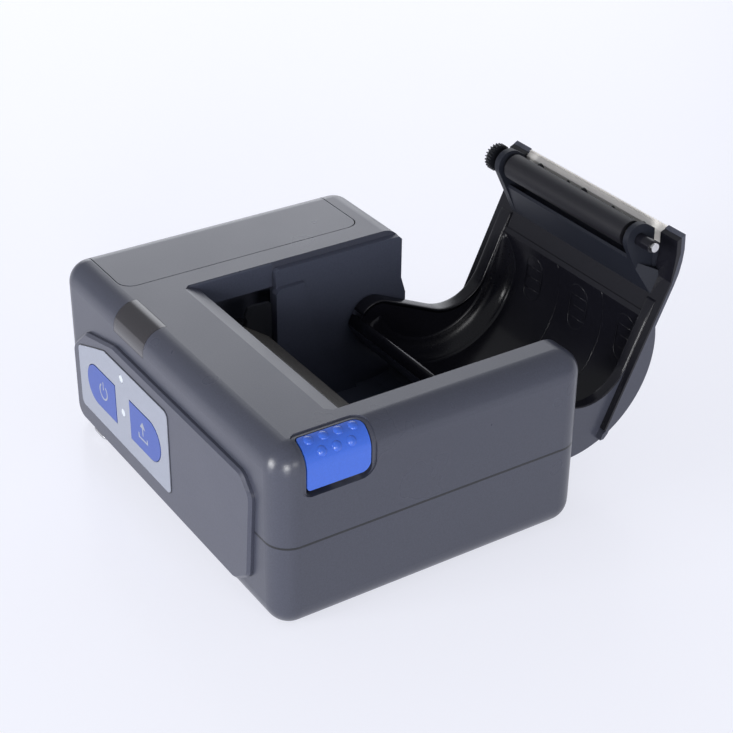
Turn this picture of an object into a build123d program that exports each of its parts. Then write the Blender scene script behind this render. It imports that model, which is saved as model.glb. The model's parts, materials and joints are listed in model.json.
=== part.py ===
from build123d import *
import math
import os

# Portable receipt printer with a hinged paper cover, millimetres.
# +X is right seen from the keys, +Y is the rear, +Z is up.
# The origin is the middle of the flat underside. The cover is written open.

# Casing
BODY_W = 114.4
BODY_L = 88.2
BODY_H = 50.0
SEAM_Z = 23.9
SEAM_GAP = 0.3
WALL = 2.2
PLAN_R = 6.2
TOP_R = 6.2
BOTTOM_R = 6.2
REAR_BOTTOM_R = 14.0
CHAMFER_SHARE = 0.6
TONGUE_H = 1.5
FIT = 0.1
PART_GAP = 0.3

# Paper bay, open to the top and the rear, placed from the casing's sides
BAY_LEFT = 32.2 - BODY_W / 2
BAY_RIGHT = BODY_W / 2 - 11.1
BAY_FRONT = 19.9 - BODY_L / 2
BAY_CORNER = 1.6
LIP_REACH = 4.3
LIP_DROP = 1.6
LIP_T = 1.8
SKIRT_Z = BODY_H - 7.4
SKIRT_T = 1.6
LEDGE_TOP = BODY_H - 1.8
LEDGE_W_LEFT = 2.0
LEDGE_W_RIGHT = 1.1
LEDGE_REAR = BODY_L / 2 - 1.1
BAY_FLOOR_Z = 3.0
BAY_FLOOR_T = 2.0
BAY_WALL_T = 1.4
REAR_CUT_Z = 7.5
PILASTER_TOP = BODY_H - 6.8
PILASTER_W = 1.5

# Hinge of the cover
HINGE_Y = BODY_L / 2 - 5.4
HINGE_Z = 23.9
OPEN_DEG = 114.5
PIN_R = 1.25
RUNNING = 0.05
BOSS_R = 5.5
KNUCKLE_R = 4.6
KNUCKLE_W = 2.0

# Cover
COVER_GAP = 0.4
COVER_TOP = BODY_H + 0.2
COVER_T = 1.6
SKIN_T = 1.0
COVER_FRONT = BAY_FRONT + 5.25
COVER_REAR = BODY_L / 2 - 3.8
COVER_REAR_Z = 32.0
NOSE_DROP = 4.0
NOSE_L = 5.2
NOSE_T = 1.2
NOSE_BLOCK_T = 2.6
NOSE_RECESS = 2.1
NOSE_SLOPE = math.radians(27.2)
BAR_X0 = BAY_LEFT + 7.1
BAR_X1 = BAY_RIGHT - 6.9
BAR_DEPTH = 5.0
BAR_TIP_DOWN = 0.2
BAR_T = 0.5
TOOTH_PITCH = 1.0
TOOTH_H = 0.5
DRUM_Y = COVER_REAR - 17.85
DRUM_Z = COVER_TOP - 20.6
DRUM_R = 27.65
DRUM_END_Z = 11.0
DRUM_INSET = 2.0
DRUM_T = 1.4
DRUM_SIDE_T = 1.0
LINER_T = 1.0
TROUGH_LEFT = BAY_LEFT + 7.0
TROUGH_RIGHT = BAY_RIGHT - 5.6
TROUGH_FLOOR_T = 0.25
LINER_TOP_Y = COVER_REAR - 20.8
LINER_BACK_Y = COVER_REAR - 7.3
LINER_FOOT_R = 6.0

# Platen roller and its drive
PLATEN_Y = BAY_FRONT + 10.9
PLATEN_Z = BODY_H - 10.4
PLATEN_R = 3.6
PLATEN_CORE_R = 2.2
SHAFT_R = 1.2
RUBBER_X0 = BAY_LEFT + 10.4
RUBBER_X1 = BAY_RIGHT - 11.7
EAR_R = 4.2
EAR_LEFT_X = BAY_LEFT + 6.7
EAR_LEFT_T = 2.0
EAR_RIGHT_X = BAY_RIGHT - 9.8
EAR_RIGHT_T = 1.7
GUSSET_REACH = 2.9
GUSSET_H = 6.0
WEB_LOW = PLATEN_Z + 2.0
WEB_Y = PLATEN_Y + 6.2
BUSH_R = 1.7
BUSH_FIT = 0.02
SHAFT_END = BAY_RIGHT - 2.1
MODULE = 0.3
PLATEN_TEETH = 24
IDLER_TEETH = 36
PINION_TEETH = 12
GEAR_W = 2.0
GEAR_X = BAY_LEFT + 1.5
BACKLASH = 0.08
IDLER_DEG = -65.0
PINION_DEG = -110.0
POST_R = 1.0
MOTOR_R = 7.5
MOTOR_L = 10.0
MOTOR_SHAFT_R = 0.75
MOTOR_SHAFT_L = 6.0

# Print mechanism
MECH_PLATE = 1.0
MECH_LEFT = BAY_LEFT + 3.9
MECH_RIGHT = BAY_RIGHT - 6.1
MECH_FRONT = BAY_FRONT + 0.6
MECH_REAR = BAY_FRONT + 23.5
MECH_TOP = BODY_H - 8.6
MECH_FLOOR = 8.0
MECH_BACK_TOP = BODY_H - 6.0
MECH_HOLE_R = 1.3
MECH_FOOT_L = 12.0
MECH_FOOT_W = 5.0
HEAD_T = 0.9
HEAD_H = 11.0
HEAD_ABOVE = 4.0
HEAD_GAP = 0.05
SINK_T = 1.6
SINK_HOLE_R = 1.0
SINK_HOLES = 4
SPRING_W = 5.0
GUIDE_T = 1.0
GUIDE_GAP = 0.8
LEAF_T = 0.3
CABLE_T = 0.3
CABLE_W = 8.0
SENSOR_W = 6.0
SENSOR_H = 4.0

# Battery compartment and lid
LID_X = BAY_LEFT - 7.1
LID_FRONT = 6.7 - BODY_L / 2
LID_REAR = BODY_L / 2 - 9.3
LID_LOW = BODY_H - 22.5
LID_T = 1.6
LID_R = 4.0
LID_GAP = 0.25
LID_SEAT_T = 1.2
CELL_X0 = 3.8 - BODY_W / 2
CELL_X1 = BAY_LEFT - 9.0
CELL_FRONT = LID_FRONT + 4.4
CELL_REAR = LID_REAR - 5.8
CELL_WALL = 1.4
CELL_FIT = 0.3
CELL_R = 3.0
BATTERY_Z = 3.0
BATTERY_TOP = BODY_H - 4.6
BLADE_PITCH = 3.0
BLADE_H = 8.0

# Boards under the bay's front
MAIN_T = 1.6
MAIN_X0 = BAY_LEFT - 6.0
MAIN_X1 = BAY_RIGHT - 1.1
MAIN_FRONT = 5.0 - BODY_L / 2
MAIN_REAR = BAY_FRONT - 1.4
MAIN_POST_R = 1.8

# Controls, placed from the casing's left side and the table
PANEL_OUT = 1.5
PANEL_T = 2.0
PANEL_X0 = 7.4 - BODY_W / 2
PANEL_X1 = BODY_W / 2 - 9.9
PANEL_LOW = 5.6
PANEL_HIGH = BODY_H - 10.9
PANEL_R = 4.0
PANEL_EDGE = 0.7
LABEL_T = 0.25
LABEL_X0 = PANEL_X0 + 4.2
LABEL_X1 = PANEL_X0 + 56.3
LABEL_LOW = 11.2
LABEL_HIGH = 35.4
LABEL_R = 1.8
KEY_PROUD = 0.1
KEY_TRAVEL = 0.3
KEY_BACK = 1.2
KEY_GAP = 0.2
KEY_FLANGE = 0.8
KEY_LOW = 16.4
KEY_H = 11.5
KEY_W = 17.0
POWER_X = PANEL_X0 + 17.9
FEED_X = PANEL_X0 + 43.4
BOARD_T = 1.2
HOLE_X0 = PANEL_X0 + 6.8
HOLE_X1 = PANEL_X0 + 56.8
HOLE_Z0 = 12.0
HOLE_Z1 = 33.3
POCKET_RIM = 1.6
LED_R = 1.1
LED_SIDES = 10
LED_X = PANEL_X0 + 30.7
LED_UPPER_Z = 32.1
LED_LOWER_Z = 21.9
WINDOW_X0 = PANEL_X0 + 24.5
WINDOW_X1 = PANEL_X0 + 41.2
WINDOW_BACK = 7.0 - BODY_L / 2
WINDOW_LOW = BODY_H - 7.2
WINDOW_T = 1.6
WINDOW_GAP = 0.1

# Release button and the latch that it turns
BUTTON_FRONT = 8.1 - BODY_L / 2
BUTTON_REAR = 25.1 - BODY_L / 2
BUTTON_IN = BODY_W / 2 - 5.8
BUTTON_LOW = BODY_H - 11.6
BUTTON_SUNK = 0.4
BUTTON_T = 2.2
BUTTON_TRAVEL = 1.2
BUTTON_GAP = 0.3
BUTTON_FRONT_R = 1.0
BUTTON_REAR_R = 2.5
RIM_W = 1.1
RIM_T = 0.4
BUMP_R = 1.1
BUMP_TOP_R = 0.6
BUMP_H = 0.4
BUMP_SIDES = 8
BUMP_PITCH = 3.95
STEM_R = 1.25
STEM_SIDES = 8
STEM_IN = 5.5
STEM_TIP = 0.7
STEM_GAP = 0.2
STEM_COLLAR_R = 2.1
STEM_PLATE_T = 1.2
SHELF_Z = BODY_H - 13.5
SHELF_T = 1.4
SPRING_TOP = BODY_H - 5.8
SPRING_WIRE = 0.5
SPRING_TURNS = 4
SPRING_STEPS = 8
LATCH_X = MECH_RIGHT + 2.2
LATCH_T = 1.6
LATCH_Y = PLATEN_Y - 7.2
LATCH_Z = PLATEN_Z - 12.6
LATCH_ARM = 8.0
LATCH_ARM_Z = LATCH_Z + 6.0
LATCH_ARM_T = 2.0
LATCH_ARM_W = 2.4
LATCH_HUB = 2.2
LATCH_PIN_R = 1.0
LATCH_CLEAR = 0.15

# Fasteners and sockets
SCREW_R = 1.25
SCREW_HEAD_R = 2.4
SCREW_HEAD_T = 1.6
SCREW_SIDES = 12
SCREW_L = 14.0
SCREW_HEAD_Z = 15.9
SCREW_X = BODY_W / 2 - 5.4
SCREW_FRONT = 5.5 - BODY_L / 2
SCREW_REAR = BODY_L / 2 - 5.7
SCREW_BOSS_R = 3.4
SCREW_BOSS_TOP = BODY_H - 17.0
SOCKET_X = 17.2 - BODY_W / 2
SOCKET_Z = 18.5
SOCKET_R = 3.8
SOCKET_FIT = 0.25
SOCKET_BORE_R = 1.9
SOCKET_SIDE = 4.5
SOCKET_L = 10.0
EYE_WIRE_R = 0.8
EYE_SIDES = 8
EYE_X0 = 11.2 - BODY_W / 2
EYE_W = 8.0


def block(x0, x1, y0, y1, z0, z1):
    """A box between two corners."""
    size = Box(x1 - x0, y1 - y0, z1 - z0)
    return Pos((x0 + x1) / 2, (y0 + y1) / 2, (z0 + z1) / 2) * size


def rod_x(x0, x1, y, z, radius):
    """A cylinder that runs along X."""
    return Pos((x0 + x1) / 2, y, z) * Rot(0, 90, 0) * Cylinder(radius, x1 - x0)


def rod_y(x, y0, y1, z, radius):
    """A cylinder that runs along Y."""
    return Pos(x, (y0 + y1) / 2, z) * Rot(90, 0, 0) * Cylinder(radius, y1 - y0)


def rod_z(x, y, z0, z1, radius):
    """A cylinder that runs along Z."""
    return Pos(x, y, (z0 + z1) / 2) * Cylinder(radius, z1 - z0)


def side_plate(points, x0, x1):
    """A side view in Y and Z, drawn as a closed outline, given its width along X."""
    face = Plane.YZ * make_face(Polyline(*points, close=True))
    return Pos(x0, 0, 0) * extrude(face, x1 - x0)


def front_plate(sketch, y_front, depth):
    """A front view in X and Z that goes back from y_front."""
    plane = Plane(origin=(0, y_front + depth, 0), x_dir=(1, 0, 0), z_dir=(0, -1, 0))
    return extrude(plane * sketch, depth)


def flat_post(x, y, z0, z1, radius, sides=8):
    """A post or hole inside the casing with flats that touch a circle of this radius."""
    return Pos(x, y, z0) * extrude(RegularPolygon(radius, sides, major_radius=False), z1 - z0)


def plan_block(inset, z0, z1):
    """The casing's rounded plan between two heights."""
    sketch = RectangleRounded(BODY_W - 2 * inset, BODY_L - 2 * inset, PLAN_R - inset)
    return Pos(0, 0, z0) * extrude(sketch, z1 - z0)


def hood(inset):
    """The upper casing's outline, moved in by inset. Only the outside is rounded."""
    solid = plan_block(inset, SEAM_Z, BODY_H - inset)
    rim = solid.edges().group_by(Axis.Z)[-1]
    if inset < 1:
        return fillet(rim, TOP_R - inset)
    return chamfer(rim, (TOP_R - inset) * CHAMFER_SHARE)


def tray(inset):
    """The lower casing's outline, moved in by inset, up to the seam."""
    solid = plan_block(inset, inset, SEAM_Z)
    rim = solid.edges().group_by(Axis.Z)[0]
    if inset == 0:
        solid = fillet(rim, BOTTOM_R)
    else:
        solid = chamfer(rim, (BOTTOM_R - inset) * CHAMFER_SHARE)
    radius = REAR_BOTTOM_R - inset
    rear = BODY_L / 2 - inset
    keep = block(-BODY_W, BODY_W, -BODY_L, rear - radius, 0, SEAM_Z)
    keep += block(-BODY_W, BODY_W, -BODY_L, BODY_L, inset + radius, SEAM_Z)
    keep += rod_x(-BODY_W, BODY_W, rear - radius, inset + radius, radius)
    return solid & keep


def opened(shape):
    """Turns a piece of the closed cover about the hinge to where it stands open."""
    turn = Pos(0, HINGE_Y, HINGE_Z) * Rot(-OPEN_DEG, 0, 0) * Pos(0, -HINGE_Y, -HINGE_Z)
    return turn * shape


def spur_gear(teeth, width, bore):
    """A fine-pitch gear about X, with a tooth on the +Y side."""
    pitch_r = MODULE * teeth / 2
    tip_r = pitch_r + 0.9 * MODULE
    root_r = pitch_r - 1.2 * MODULE
    step = 360 / teeth
    outline = []
    for tooth in range(teeth):
        middle = tooth * step
        for share, radius in ((-0.36, root_r), (-0.1, tip_r), (0.1, tip_r), (0.36, root_r)):
            angle = math.radians(middle + share * step)
            outline.append((radius * math.cos(angle), radius * math.sin(angle)))
    return side_plate(outline, 0, width) - rod_x(-1, width + 1, 0, 0, bore)


def polar(y, z, radius, degrees):
    """The point at a distance and angle from (y, z) in the side view."""
    angle = math.radians(degrees)
    return y + radius * math.cos(angle), z + radius * math.sin(angle)


def mesh_turn(teeth, towards_deg, tooth_there):
    """How far a gear turns to show a tooth, or a gap, in one direction."""
    return towards_deg if tooth_there else towards_deg + 180 / teeth


IDLER_Y, IDLER_Z = polar(
    PLATEN_Y, PLATEN_Z, MODULE * (PLATEN_TEETH + IDLER_TEETH) / 2 + BACKLASH, IDLER_DEG)
MOTOR_Y, MOTOR_Z = polar(
    IDLER_Y, IDLER_Z, MODULE * (IDLER_TEETH + PINION_TEETH) / 2 + BACKLASH, PINION_DEG)
COVER_X0 = BAY_LEFT + COVER_GAP
COVER_X1 = BAY_RIGHT - COVER_GAP
DRUM_X0 = COVER_X0 + DRUM_INSET
DRUM_X1 = COVER_X1 - DRUM_INSET
PANEL_Y = -BODY_L / 2 - PANEL_OUT
WALL_LEFT = BAY_LEFT + LEDGE_W_LEFT
WALL_RIGHT = BAY_RIGHT - LEDGE_W_RIGHT
UNDER_Z = COVER_TOP - COVER_T
HALF_CHORD = math.sqrt(DRUM_R**2 - (COVER_TOP - DRUM_Z) ** 2)
TROUGH_FRONT = DRUM_Y - HALF_CHORD - 4.1


def lid_zone(gap):
    """The plan of the battery lid, grown by gap, from the top down over the left side."""
    x1 = LID_X + gap
    x0 = -BODY_W / 2 - 10
    sketch = Pos((x0 + x1) / 2, (LID_FRONT + LID_REAR) / 2) * RectangleRounded(
        x1 - x0, LID_REAR - LID_FRONT + 2 * gap, LID_R)
    return Pos(0, 0, LID_LOW - gap) * extrude(sketch, BODY_H)


def battery_cell(wall):
    """The battery compartment, grown by wall."""
    return block(CELL_X0 - wall, CELL_X1 + wall, CELL_FRONT - wall, CELL_REAR + wall,
                 SEAM_Z + SEAM_GAP, BODY_H)


def panel_hole(gap):
    """The hole behind the control panel, through the front of both casings."""
    hole = Pos((HOLE_X0 + HOLE_X1) / 2, (HOLE_Z0 + HOLE_Z1) / 2) * Rectangle(
        HOLE_X1 - HOLE_X0 - 2 * gap, HOLE_Z1 - HOLE_Z0 - 2 * gap)
    return hole


def button_outline(across0, across1, front, rear, gap):
    """A corner patch seen from the top or the side, rounder at the rear than in front."""
    corners = Polyline((across0, front), (across1, front), (across1, rear), (across0, rear),
                       close=True)
    face = make_face(corners)
    face = fillet(face.vertices().group_by(Axis.Y)[-1], BUTTON_REAR_R + gap)
    return fillet(face.vertices().group_by(Axis.Y)[0], BUTTON_FRONT_R + gap)


def button_zone(gap):
    """The corner of the casing that the release button fills, grown by gap."""
    front = BUTTON_FRONT - gap
    rear = BUTTON_REAR + gap
    plan = button_outline(BUTTON_IN - gap, BODY_W, front, rear, gap)
    side = button_outline(BUTTON_LOW - gap, BODY_H + 10, front, rear, gap)
    across = Plane(origin=(0, 0, 0), x_dir=(0, 0, 1), z_dir=(-1, 0, 0))
    return extrude(plan, BODY_H + 1) & extrude(across * side, -BODY_W)


def screw_places():
    """Where the four case screws stand."""
    return [(x, y) for x in (-SCREW_X, SCREW_X) for y in (SCREW_FRONT, SCREW_REAR)]


def bay_corner(x, towards):
    """A small cut-off corner of the bay's opening, above the lip."""
    corner = make_face(Polyline((x, BAY_FRONT), (x + towards * BAY_CORNER, BAY_FRONT),
                                (x, BAY_FRONT + BAY_CORNER), close=True))
    return Pos(0, 0, BODY_H - WALL) * extrude(corner, WALL)


def make_top_shell():
    shell = hood(0) - hood(WALL)
    shell -= plan_block(0, SEAM_Z, SEAM_Z + SEAM_GAP)
    shell -= plan_block(WALL / 2 - FIT, SEAM_Z, SEAM_Z + TONGUE_H + 2 * FIT)
    bay = side_plate([
        (BAY_FRONT, BODY_H), (BAY_FRONT, BODY_H + 5), (BODY_L, BODY_H + 5), (BODY_L, 0),
        (BAY_FRONT + LIP_REACH, 0), (BAY_FRONT + LIP_REACH, BODY_H - LIP_DROP)],
        BAY_LEFT, BAY_RIGHT)
    lip = side_plate([
        (BAY_FRONT - 1, BODY_H - WALL), (BAY_FRONT + LIP_REACH, BODY_H - LIP_DROP - LIP_T),
        (BAY_FRONT + LIP_REACH, BODY_H - LIP_DROP), (BAY_FRONT, BODY_H),
        (BAY_FRONT - 1, BODY_H)], BAY_LEFT, BAY_RIGHT)
    skirts = block(BAY_LEFT - SKIRT_T, BAY_LEFT, BAY_FRONT, BODY_L / 2, SKIRT_Z, BODY_H)
    skirts += block(BAY_RIGHT, BAY_RIGHT + SKIRT_T, BAY_FRONT, BODY_L / 2, SKIRT_Z, BODY_H)
    stem_x = BODY_W / 2 - STEM_IN
    shelf = block(stem_x - 3.5, BODY_W / 2, BUTTON_FRONT + 1, BUTTON_REAR - 1,
                  SHELF_Z - SHELF_T, SHELF_Z)
    shelf -= flat_post(stem_x, LATCH_Y - LATCH_ARM, 0, BODY_H, STEM_R + 2 * FIT, 12)
    lid_pan = (hood(LID_T + FIT) - hood(LID_T + LID_SEAT_T)) & lid_zone(1.5)
    inside = (skirts + battery_cell(CELL_WALL) + shelf) & hood(WALL / 2)
    shell = shell + inside + lid_pan - bay + lip
    shell += bay_corner(BAY_LEFT, 1) + bay_corner(BAY_RIGHT, -1)
    shell -= battery_cell(0)
    shell -= lid_zone(LID_GAP) - hood(LID_T + FIT)
    shell -= button_zone(BUTTON_GAP)
    shell -= button_zone(BUTTON_GAP + RIM_W) - hood(RIM_T)
    shell -= Pos(0, 0, -BUTTON_TRAVEL) * button_zone(BUTTON_GAP)
    shell -= block(WINDOW_X0, WINDOW_X1, -BODY_L, WINDOW_BACK, WINDOW_LOW, BODY_H + 1)
    shell -= front_plate(panel_hole(0), -BODY_L / 2 - 1, WALL + 2)
    for x, y in screw_places():
        shell += flat_post(x, y, SEAM_Z + SEAM_GAP, SCREW_BOSS_TOP, SCREW_BOSS_R) & hood(WALL)
        shell -= flat_post(x, y, 0, SCREW_BOSS_TOP - 1, SCREW_R)
    return shell


def make_bottom_shell():
    shell = tray(0) - tray(WALL) - block(-BODY_W, BODY_W, -BODY_L, BODY_L,
                                         SEAM_Z - 0.01, SEAM_Z + 1)
    tongue = plan_block(WALL / 2, SEAM_Z - 1, SEAM_Z + TONGUE_H)
    tongue -= plan_block(WALL, SEAM_Z - 2, SEAM_Z + TONGUE_H + 1)
    shell += tongue
    shell -= block(BAY_LEFT, BAY_RIGHT, 0, BODY_L, REAR_CUT_Z, BODY_H)
    shell -= front_plate(panel_hole(0), -BODY_L / 2 - 1, WALL + 2)
    for x, y in screw_places():
        shell += flat_post(x, y, WALL / 2, SEAM_Z, SCREW_BOSS_R) & tray(WALL / 2)
        shell -= flat_post(x, y, SCREW_HEAD_Z - 1, SEAM_Z + 1, SCREW_R + FIT)
        shell -= flat_post(x, y, -1, SCREW_HEAD_Z, SCREW_HEAD_R + FIT, SCREW_SIDES)
    shell -= rod_y(SOCKET_X, 0, BODY_L, SOCKET_Z, SOCKET_R + SOCKET_FIT)
    return shell - strap_wire(EYE_WIRE_R + RUNNING)


def make_bay_frame():
    boss_y = HINGE_Y + BOSS_R + PART_GAP
    start = MECH_REAR + 3.2
    right_start = MECH_REAR - 0.3
    step_y = HINGE_Y - 2.2
    under = SKIRT_Z - FIT
    rear_edge = [
        (LEDGE_REAR, under), (LEDGE_REAR, HINGE_Z + 11.3), (boss_y, HINGE_Z + 6.3),
        (boss_y, REAR_CUT_Z + 8), (HINGE_Y + 1.3, BAY_FLOOR_Z)]
    left = side_plate([(start, BAY_FLOOR_Z), (start, under)] + rear_edge,
                      BAY_LEFT - BAY_WALL_T, WALL_LEFT)
    left += side_plate([
        (start, under), (start, LEDGE_TOP - 1.0), (start + 1.0, LEDGE_TOP),
        (LEDGE_REAR - 1.0, LEDGE_TOP), (LEDGE_REAR, LEDGE_TOP - 1), (LEDGE_REAR, under)],
        BAY_LEFT, WALL_LEFT)
    left += side_plate([
        (start - 0.7, BAY_FLOOR_Z), (start - 0.7, PILASTER_TOP - 1.6),
        (start - 0.1, PILASTER_TOP - 0.6), (start + 0.9, PILASTER_TOP),
        (start + 7.9, PILASTER_TOP), (start + 12.8, PILASTER_TOP - 23.0),
        (start + 24.7, 6.0), (start + 24.7, BAY_FLOOR_Z)], WALL_LEFT - 1,
        WALL_LEFT + PILASTER_W)
    right = side_plate([
        (right_start, BAY_FLOOR_Z), (right_start, under), (step_y, under),
        (step_y, BAY_FLOOR_Z)], WALL_RIGHT, BAY_RIGHT + BAY_WALL_T)
    right += side_plate([(step_y, BAY_FLOOR_Z), (step_y, under)] + rear_edge,
                        BAY_RIGHT, BAY_RIGHT + BAY_WALL_T)
    right += side_plate([
        (right_start, under), (right_start, LEDGE_TOP - 1.0), (right_start + 1.0, LEDGE_TOP),
        (step_y, LEDGE_TOP), (step_y, under)], WALL_RIGHT, BAY_RIGHT)
    right += rod_x(DRUM_X1 + PART_GAP, BAY_RIGHT + 1, HINGE_Y, HINGE_Z, BOSS_R - 1)
    floor = side_plate([
        (BAY_FRONT + 4.2, BAY_FLOOR_Z), (BAY_FRONT + 4.2, BAY_FLOOR_Z + BAY_FLOOR_T),
        (HINGE_Y - 4.7, BAY_FLOOR_Z + BAY_FLOOR_T),
        (HINGE_Y + 0.3, BAY_FLOOR_Z + BAY_FLOOR_T + 1.0), (HINGE_Y + 1.3, BAY_FLOOR_Z)],
        BAY_LEFT - BAY_WALL_T, BAY_RIGHT + BAY_WALL_T)
    frame = (left + right + floor) & (
        tray(WALL + FIT) + hood(WALL + FIT)
        + block(BAY_LEFT, BAY_RIGHT, 0, BODY_L, REAR_CUT_Z + PART_GAP, BODY_H))
    frame -= rod_x(BAY_LEFT - 5, BAY_RIGHT + 5, HINGE_Y, HINGE_Z, PIN_R)
    return frame


def make_battery_lid():
    return (hood(0) & lid_zone(0)) - hood(LID_T)


def make_battery_pack():
    cell = block(CELL_X0 + CELL_FIT, CELL_X1 - CELL_FIT, CELL_FRONT + CELL_FIT,
                 CELL_REAR - CELL_FIT, BATTERY_Z, BATTERY_TOP)
    return fillet(cell.edges().filter_by(Axis.Y), CELL_R)


def panel_sketch():
    """The raised control panel seen from the front."""
    corners = Polyline(
        (PANEL_X0, PANEL_LOW), (PANEL_X1 - 8.8, PANEL_LOW), (PANEL_X1 - 2.1, PANEL_LOW + 4.9),
        (PANEL_X1, PANEL_HIGH - 4.6), (PANEL_X1 - 4.3, PANEL_HIGH),
        (PANEL_X0 + 25.8, PANEL_HIGH), (PANEL_X0 + 8.3, PANEL_HIGH - 4.3),
        (PANEL_X0, PANEL_HIGH - 11.6), close=True)
    return fillet(make_face(corners).vertices(), PANEL_R)


def key_sketch(x, rounded_left, grow):
    """A key with one half-round end."""
    radius = KEY_H / 2
    side = -1 if rounded_left else 1
    flat_end = KEY_W - radius
    body = Pos(x + side * (KEY_W / 2 - radius), 0) * Circle(radius + grow)
    body += Pos(x - side * (KEY_W - flat_end) / 2, 0) * Rectangle(
        flat_end + 2 * grow, KEY_H + 2 * grow)
    return Pos(0, KEY_LOW + radius) * body


def both_keys(grow):
    return key_sketch(POWER_X, True, grow) + key_sketch(FEED_X, False, grow)


def led_dots(radius):
    dot = RegularPolygon(radius, LED_SIDES)
    return Pos(LED_X, LED_UPPER_Z) * dot + Pos(LED_X, LED_LOWER_Z) * dot


def make_front_panel():
    plate = front_plate(panel_sketch(), PANEL_Y, PANEL_OUT)
    front = plate.faces().sort_by(Axis.Y)[0]
    plate = chamfer(front.edges(), PANEL_EDGE)
    spigot = front_plate(panel_hole(FIT), PANEL_Y + PANEL_OUT, WALL)
    hole = front_plate(both_keys(KEY_GAP) + led_dots(LED_R + FIT), PANEL_Y - 1, 9)
    pocket = front_plate(panel_hole(POCKET_RIM), PANEL_Y + PANEL_T, 9)
    return plate + spigot - hole - pocket


def make_keypad_label():
    outline = Polyline(
        (LABEL_X0, LABEL_LOW), (LABEL_X1, LABEL_LOW), (LABEL_X1, LABEL_HIGH),
        (LABEL_X0 + 16.6, LABEL_HIGH), (LABEL_X0 + 10.4, LABEL_HIGH - 2.2),
        (LABEL_X0, LABEL_HIGH - 6.1), close=True)
    sketch = fillet(make_face(outline).vertices(), LABEL_R)
    sketch -= both_keys(KEY_GAP) + led_dots(LED_R + FIT)
    return front_plate(sketch, PANEL_Y - LABEL_T, LABEL_T)


def make_key(x, rounded_left):
    cap = front_plate(key_sketch(x, rounded_left, 0), PANEL_Y - LABEL_T - KEY_PROUD,
                      LABEL_T + KEY_PROUD + PANEL_T)
    flange = front_plate(key_sketch(x, rounded_left, KEY_FLANGE), PANEL_Y + PANEL_T + FIT,
                         KEY_BACK)
    return cap + front_plate(key_sketch(x, rounded_left, 0), PANEL_Y + PANEL_T, FIT) + flange


def make_keypad_board():
    y_board = PANEL_Y + PANEL_T + FIT + KEY_BACK + KEY_TRAVEL + FIT
    board = front_plate(panel_hole(POCKET_RIM + FIT), y_board, BOARD_T)
    board += front_plate(Pos(LED_X, HOLE_Z0 + 4) * Rectangle(20, 3.4), y_board + BOARD_T, 2.5)
    return board


def make_led_lenses():
    length = PANEL_T + LABEL_T + FIT + KEY_BACK + KEY_TRAVEL
    lenses = front_plate(led_dots(LED_R), PANEL_Y - LABEL_T, length)
    return lenses


def make_ir_window():
    zone = block(WINDOW_X0 + WINDOW_GAP, WINDOW_X1 - WINDOW_GAP, -BODY_L,
                 WINDOW_BACK - WINDOW_GAP, WINDOW_LOW + WINDOW_GAP, BODY_H)
    return (hood(0) & zone) - hood(WINDOW_T)


def make_release_button():
    cap = (hood(BUTTON_SUNK) & button_zone(0)) - hood(BUTTON_SUNK + BUTTON_T)
    middle = (BUTTON_FRONT + BUTTON_REAR) / 2
    arc_r = TOP_R - BUTTON_SUNK
    profile = RegularPolygon(BUMP_R, BUMP_SIDES)
    top = RegularPolygon(BUMP_TOP_R, BUMP_SIDES)
    bump = loft([Pos(0, 0, -BUMP_H) * profile, profile, Pos(0, 0, BUMP_H) * top], ruled=True)
    for degrees, count in ((70.0, 4), (36.0, 3)):
        for index in range(count):
            y = middle + (index - (count - 1) / 2) * BUMP_PITCH
            angle = math.radians(degrees)
            x = BODY_W / 2 - TOP_R + arc_r * math.cos(angle)
            z = BODY_H - TOP_R + arc_r * math.sin(angle)
            cap += Pos(x, y, z) * Rot(0, 90 - degrees, 0) * bump
    stem_x = BODY_W / 2 - STEM_IN
    stem_y = LATCH_Y - LATCH_ARM
    plate_top = BODY_H - BUTTON_SUNK - BUTTON_T
    cap += block(stem_x - 2.0, BODY_W / 2 - BUTTON_T, BUTTON_FRONT + 2, BUTTON_REAR - 3,
                 plate_top - STEM_PLATE_T, plate_top)
    low = LATCH_ARM_Z + STEM_GAP
    stem = flat_post(stem_x, stem_y, low, low + STEM_TIP, STEM_R - STEM_TIP, STEM_SIDES)
    stem += flat_post(stem_x, stem_y, low + STEM_TIP, plate_top - 0.2, STEM_R, STEM_SIDES)
    stem += flat_post(stem_x, stem_y, SPRING_TOP, SPRING_TOP + 1.0, STEM_COLLAR_R, STEM_SIDES)
    return cap + stem


def make_latch_lever():
    x0, x1 = LATCH_X, LATCH_X + LATCH_T
    nose_y = PLATEN_Y - BUSH_R - LATCH_CLEAR
    top = PLATEN_Z + BUSH_R + 2.0
    outline = [
        (LATCH_Y - LATCH_HUB, LATCH_Z - 2.6), (LATCH_Y + LATCH_HUB, LATCH_Z - 2.6),
        (LATCH_Y + 2.6, LATCH_Z + 2.0), (nose_y - 1.6, PLATEN_Z - 1.6),
        (nose_y - 1.6, PLATEN_Z + 1.0), (nose_y, PLATEN_Z + BUSH_R),
        (nose_y - 0.8, top), (nose_y - 3.0, top),
        (LATCH_Y - 0.6, LATCH_ARM_Z + 1.5), (LATCH_Y - LATCH_HUB, LATCH_ARM_Z)]
    lever = side_plate(outline, x0, x1)
    arm_front = LATCH_Y - LATCH_ARM - LATCH_ARM_W
    arm_low = LATCH_ARM_Z - LATCH_ARM_T
    lever += side_plate([(LATCH_Y - 1.8, LATCH_Z), (LATCH_Y - 1.8, LATCH_ARM_Z),
                         (arm_front, LATCH_ARM_Z), (arm_front, arm_low)], x0, x1)
    lever += block(x0, BODY_W / 2 - STEM_IN + LATCH_ARM_W, arm_front,
                   LATCH_Y - LATCH_ARM + LATCH_ARM_W, arm_low, LATCH_ARM_Z)
    return lever - rod_x(x0 - 1, x1 + 1, LATCH_Y, LATCH_Z, LATCH_PIN_R + RUNNING)


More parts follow.
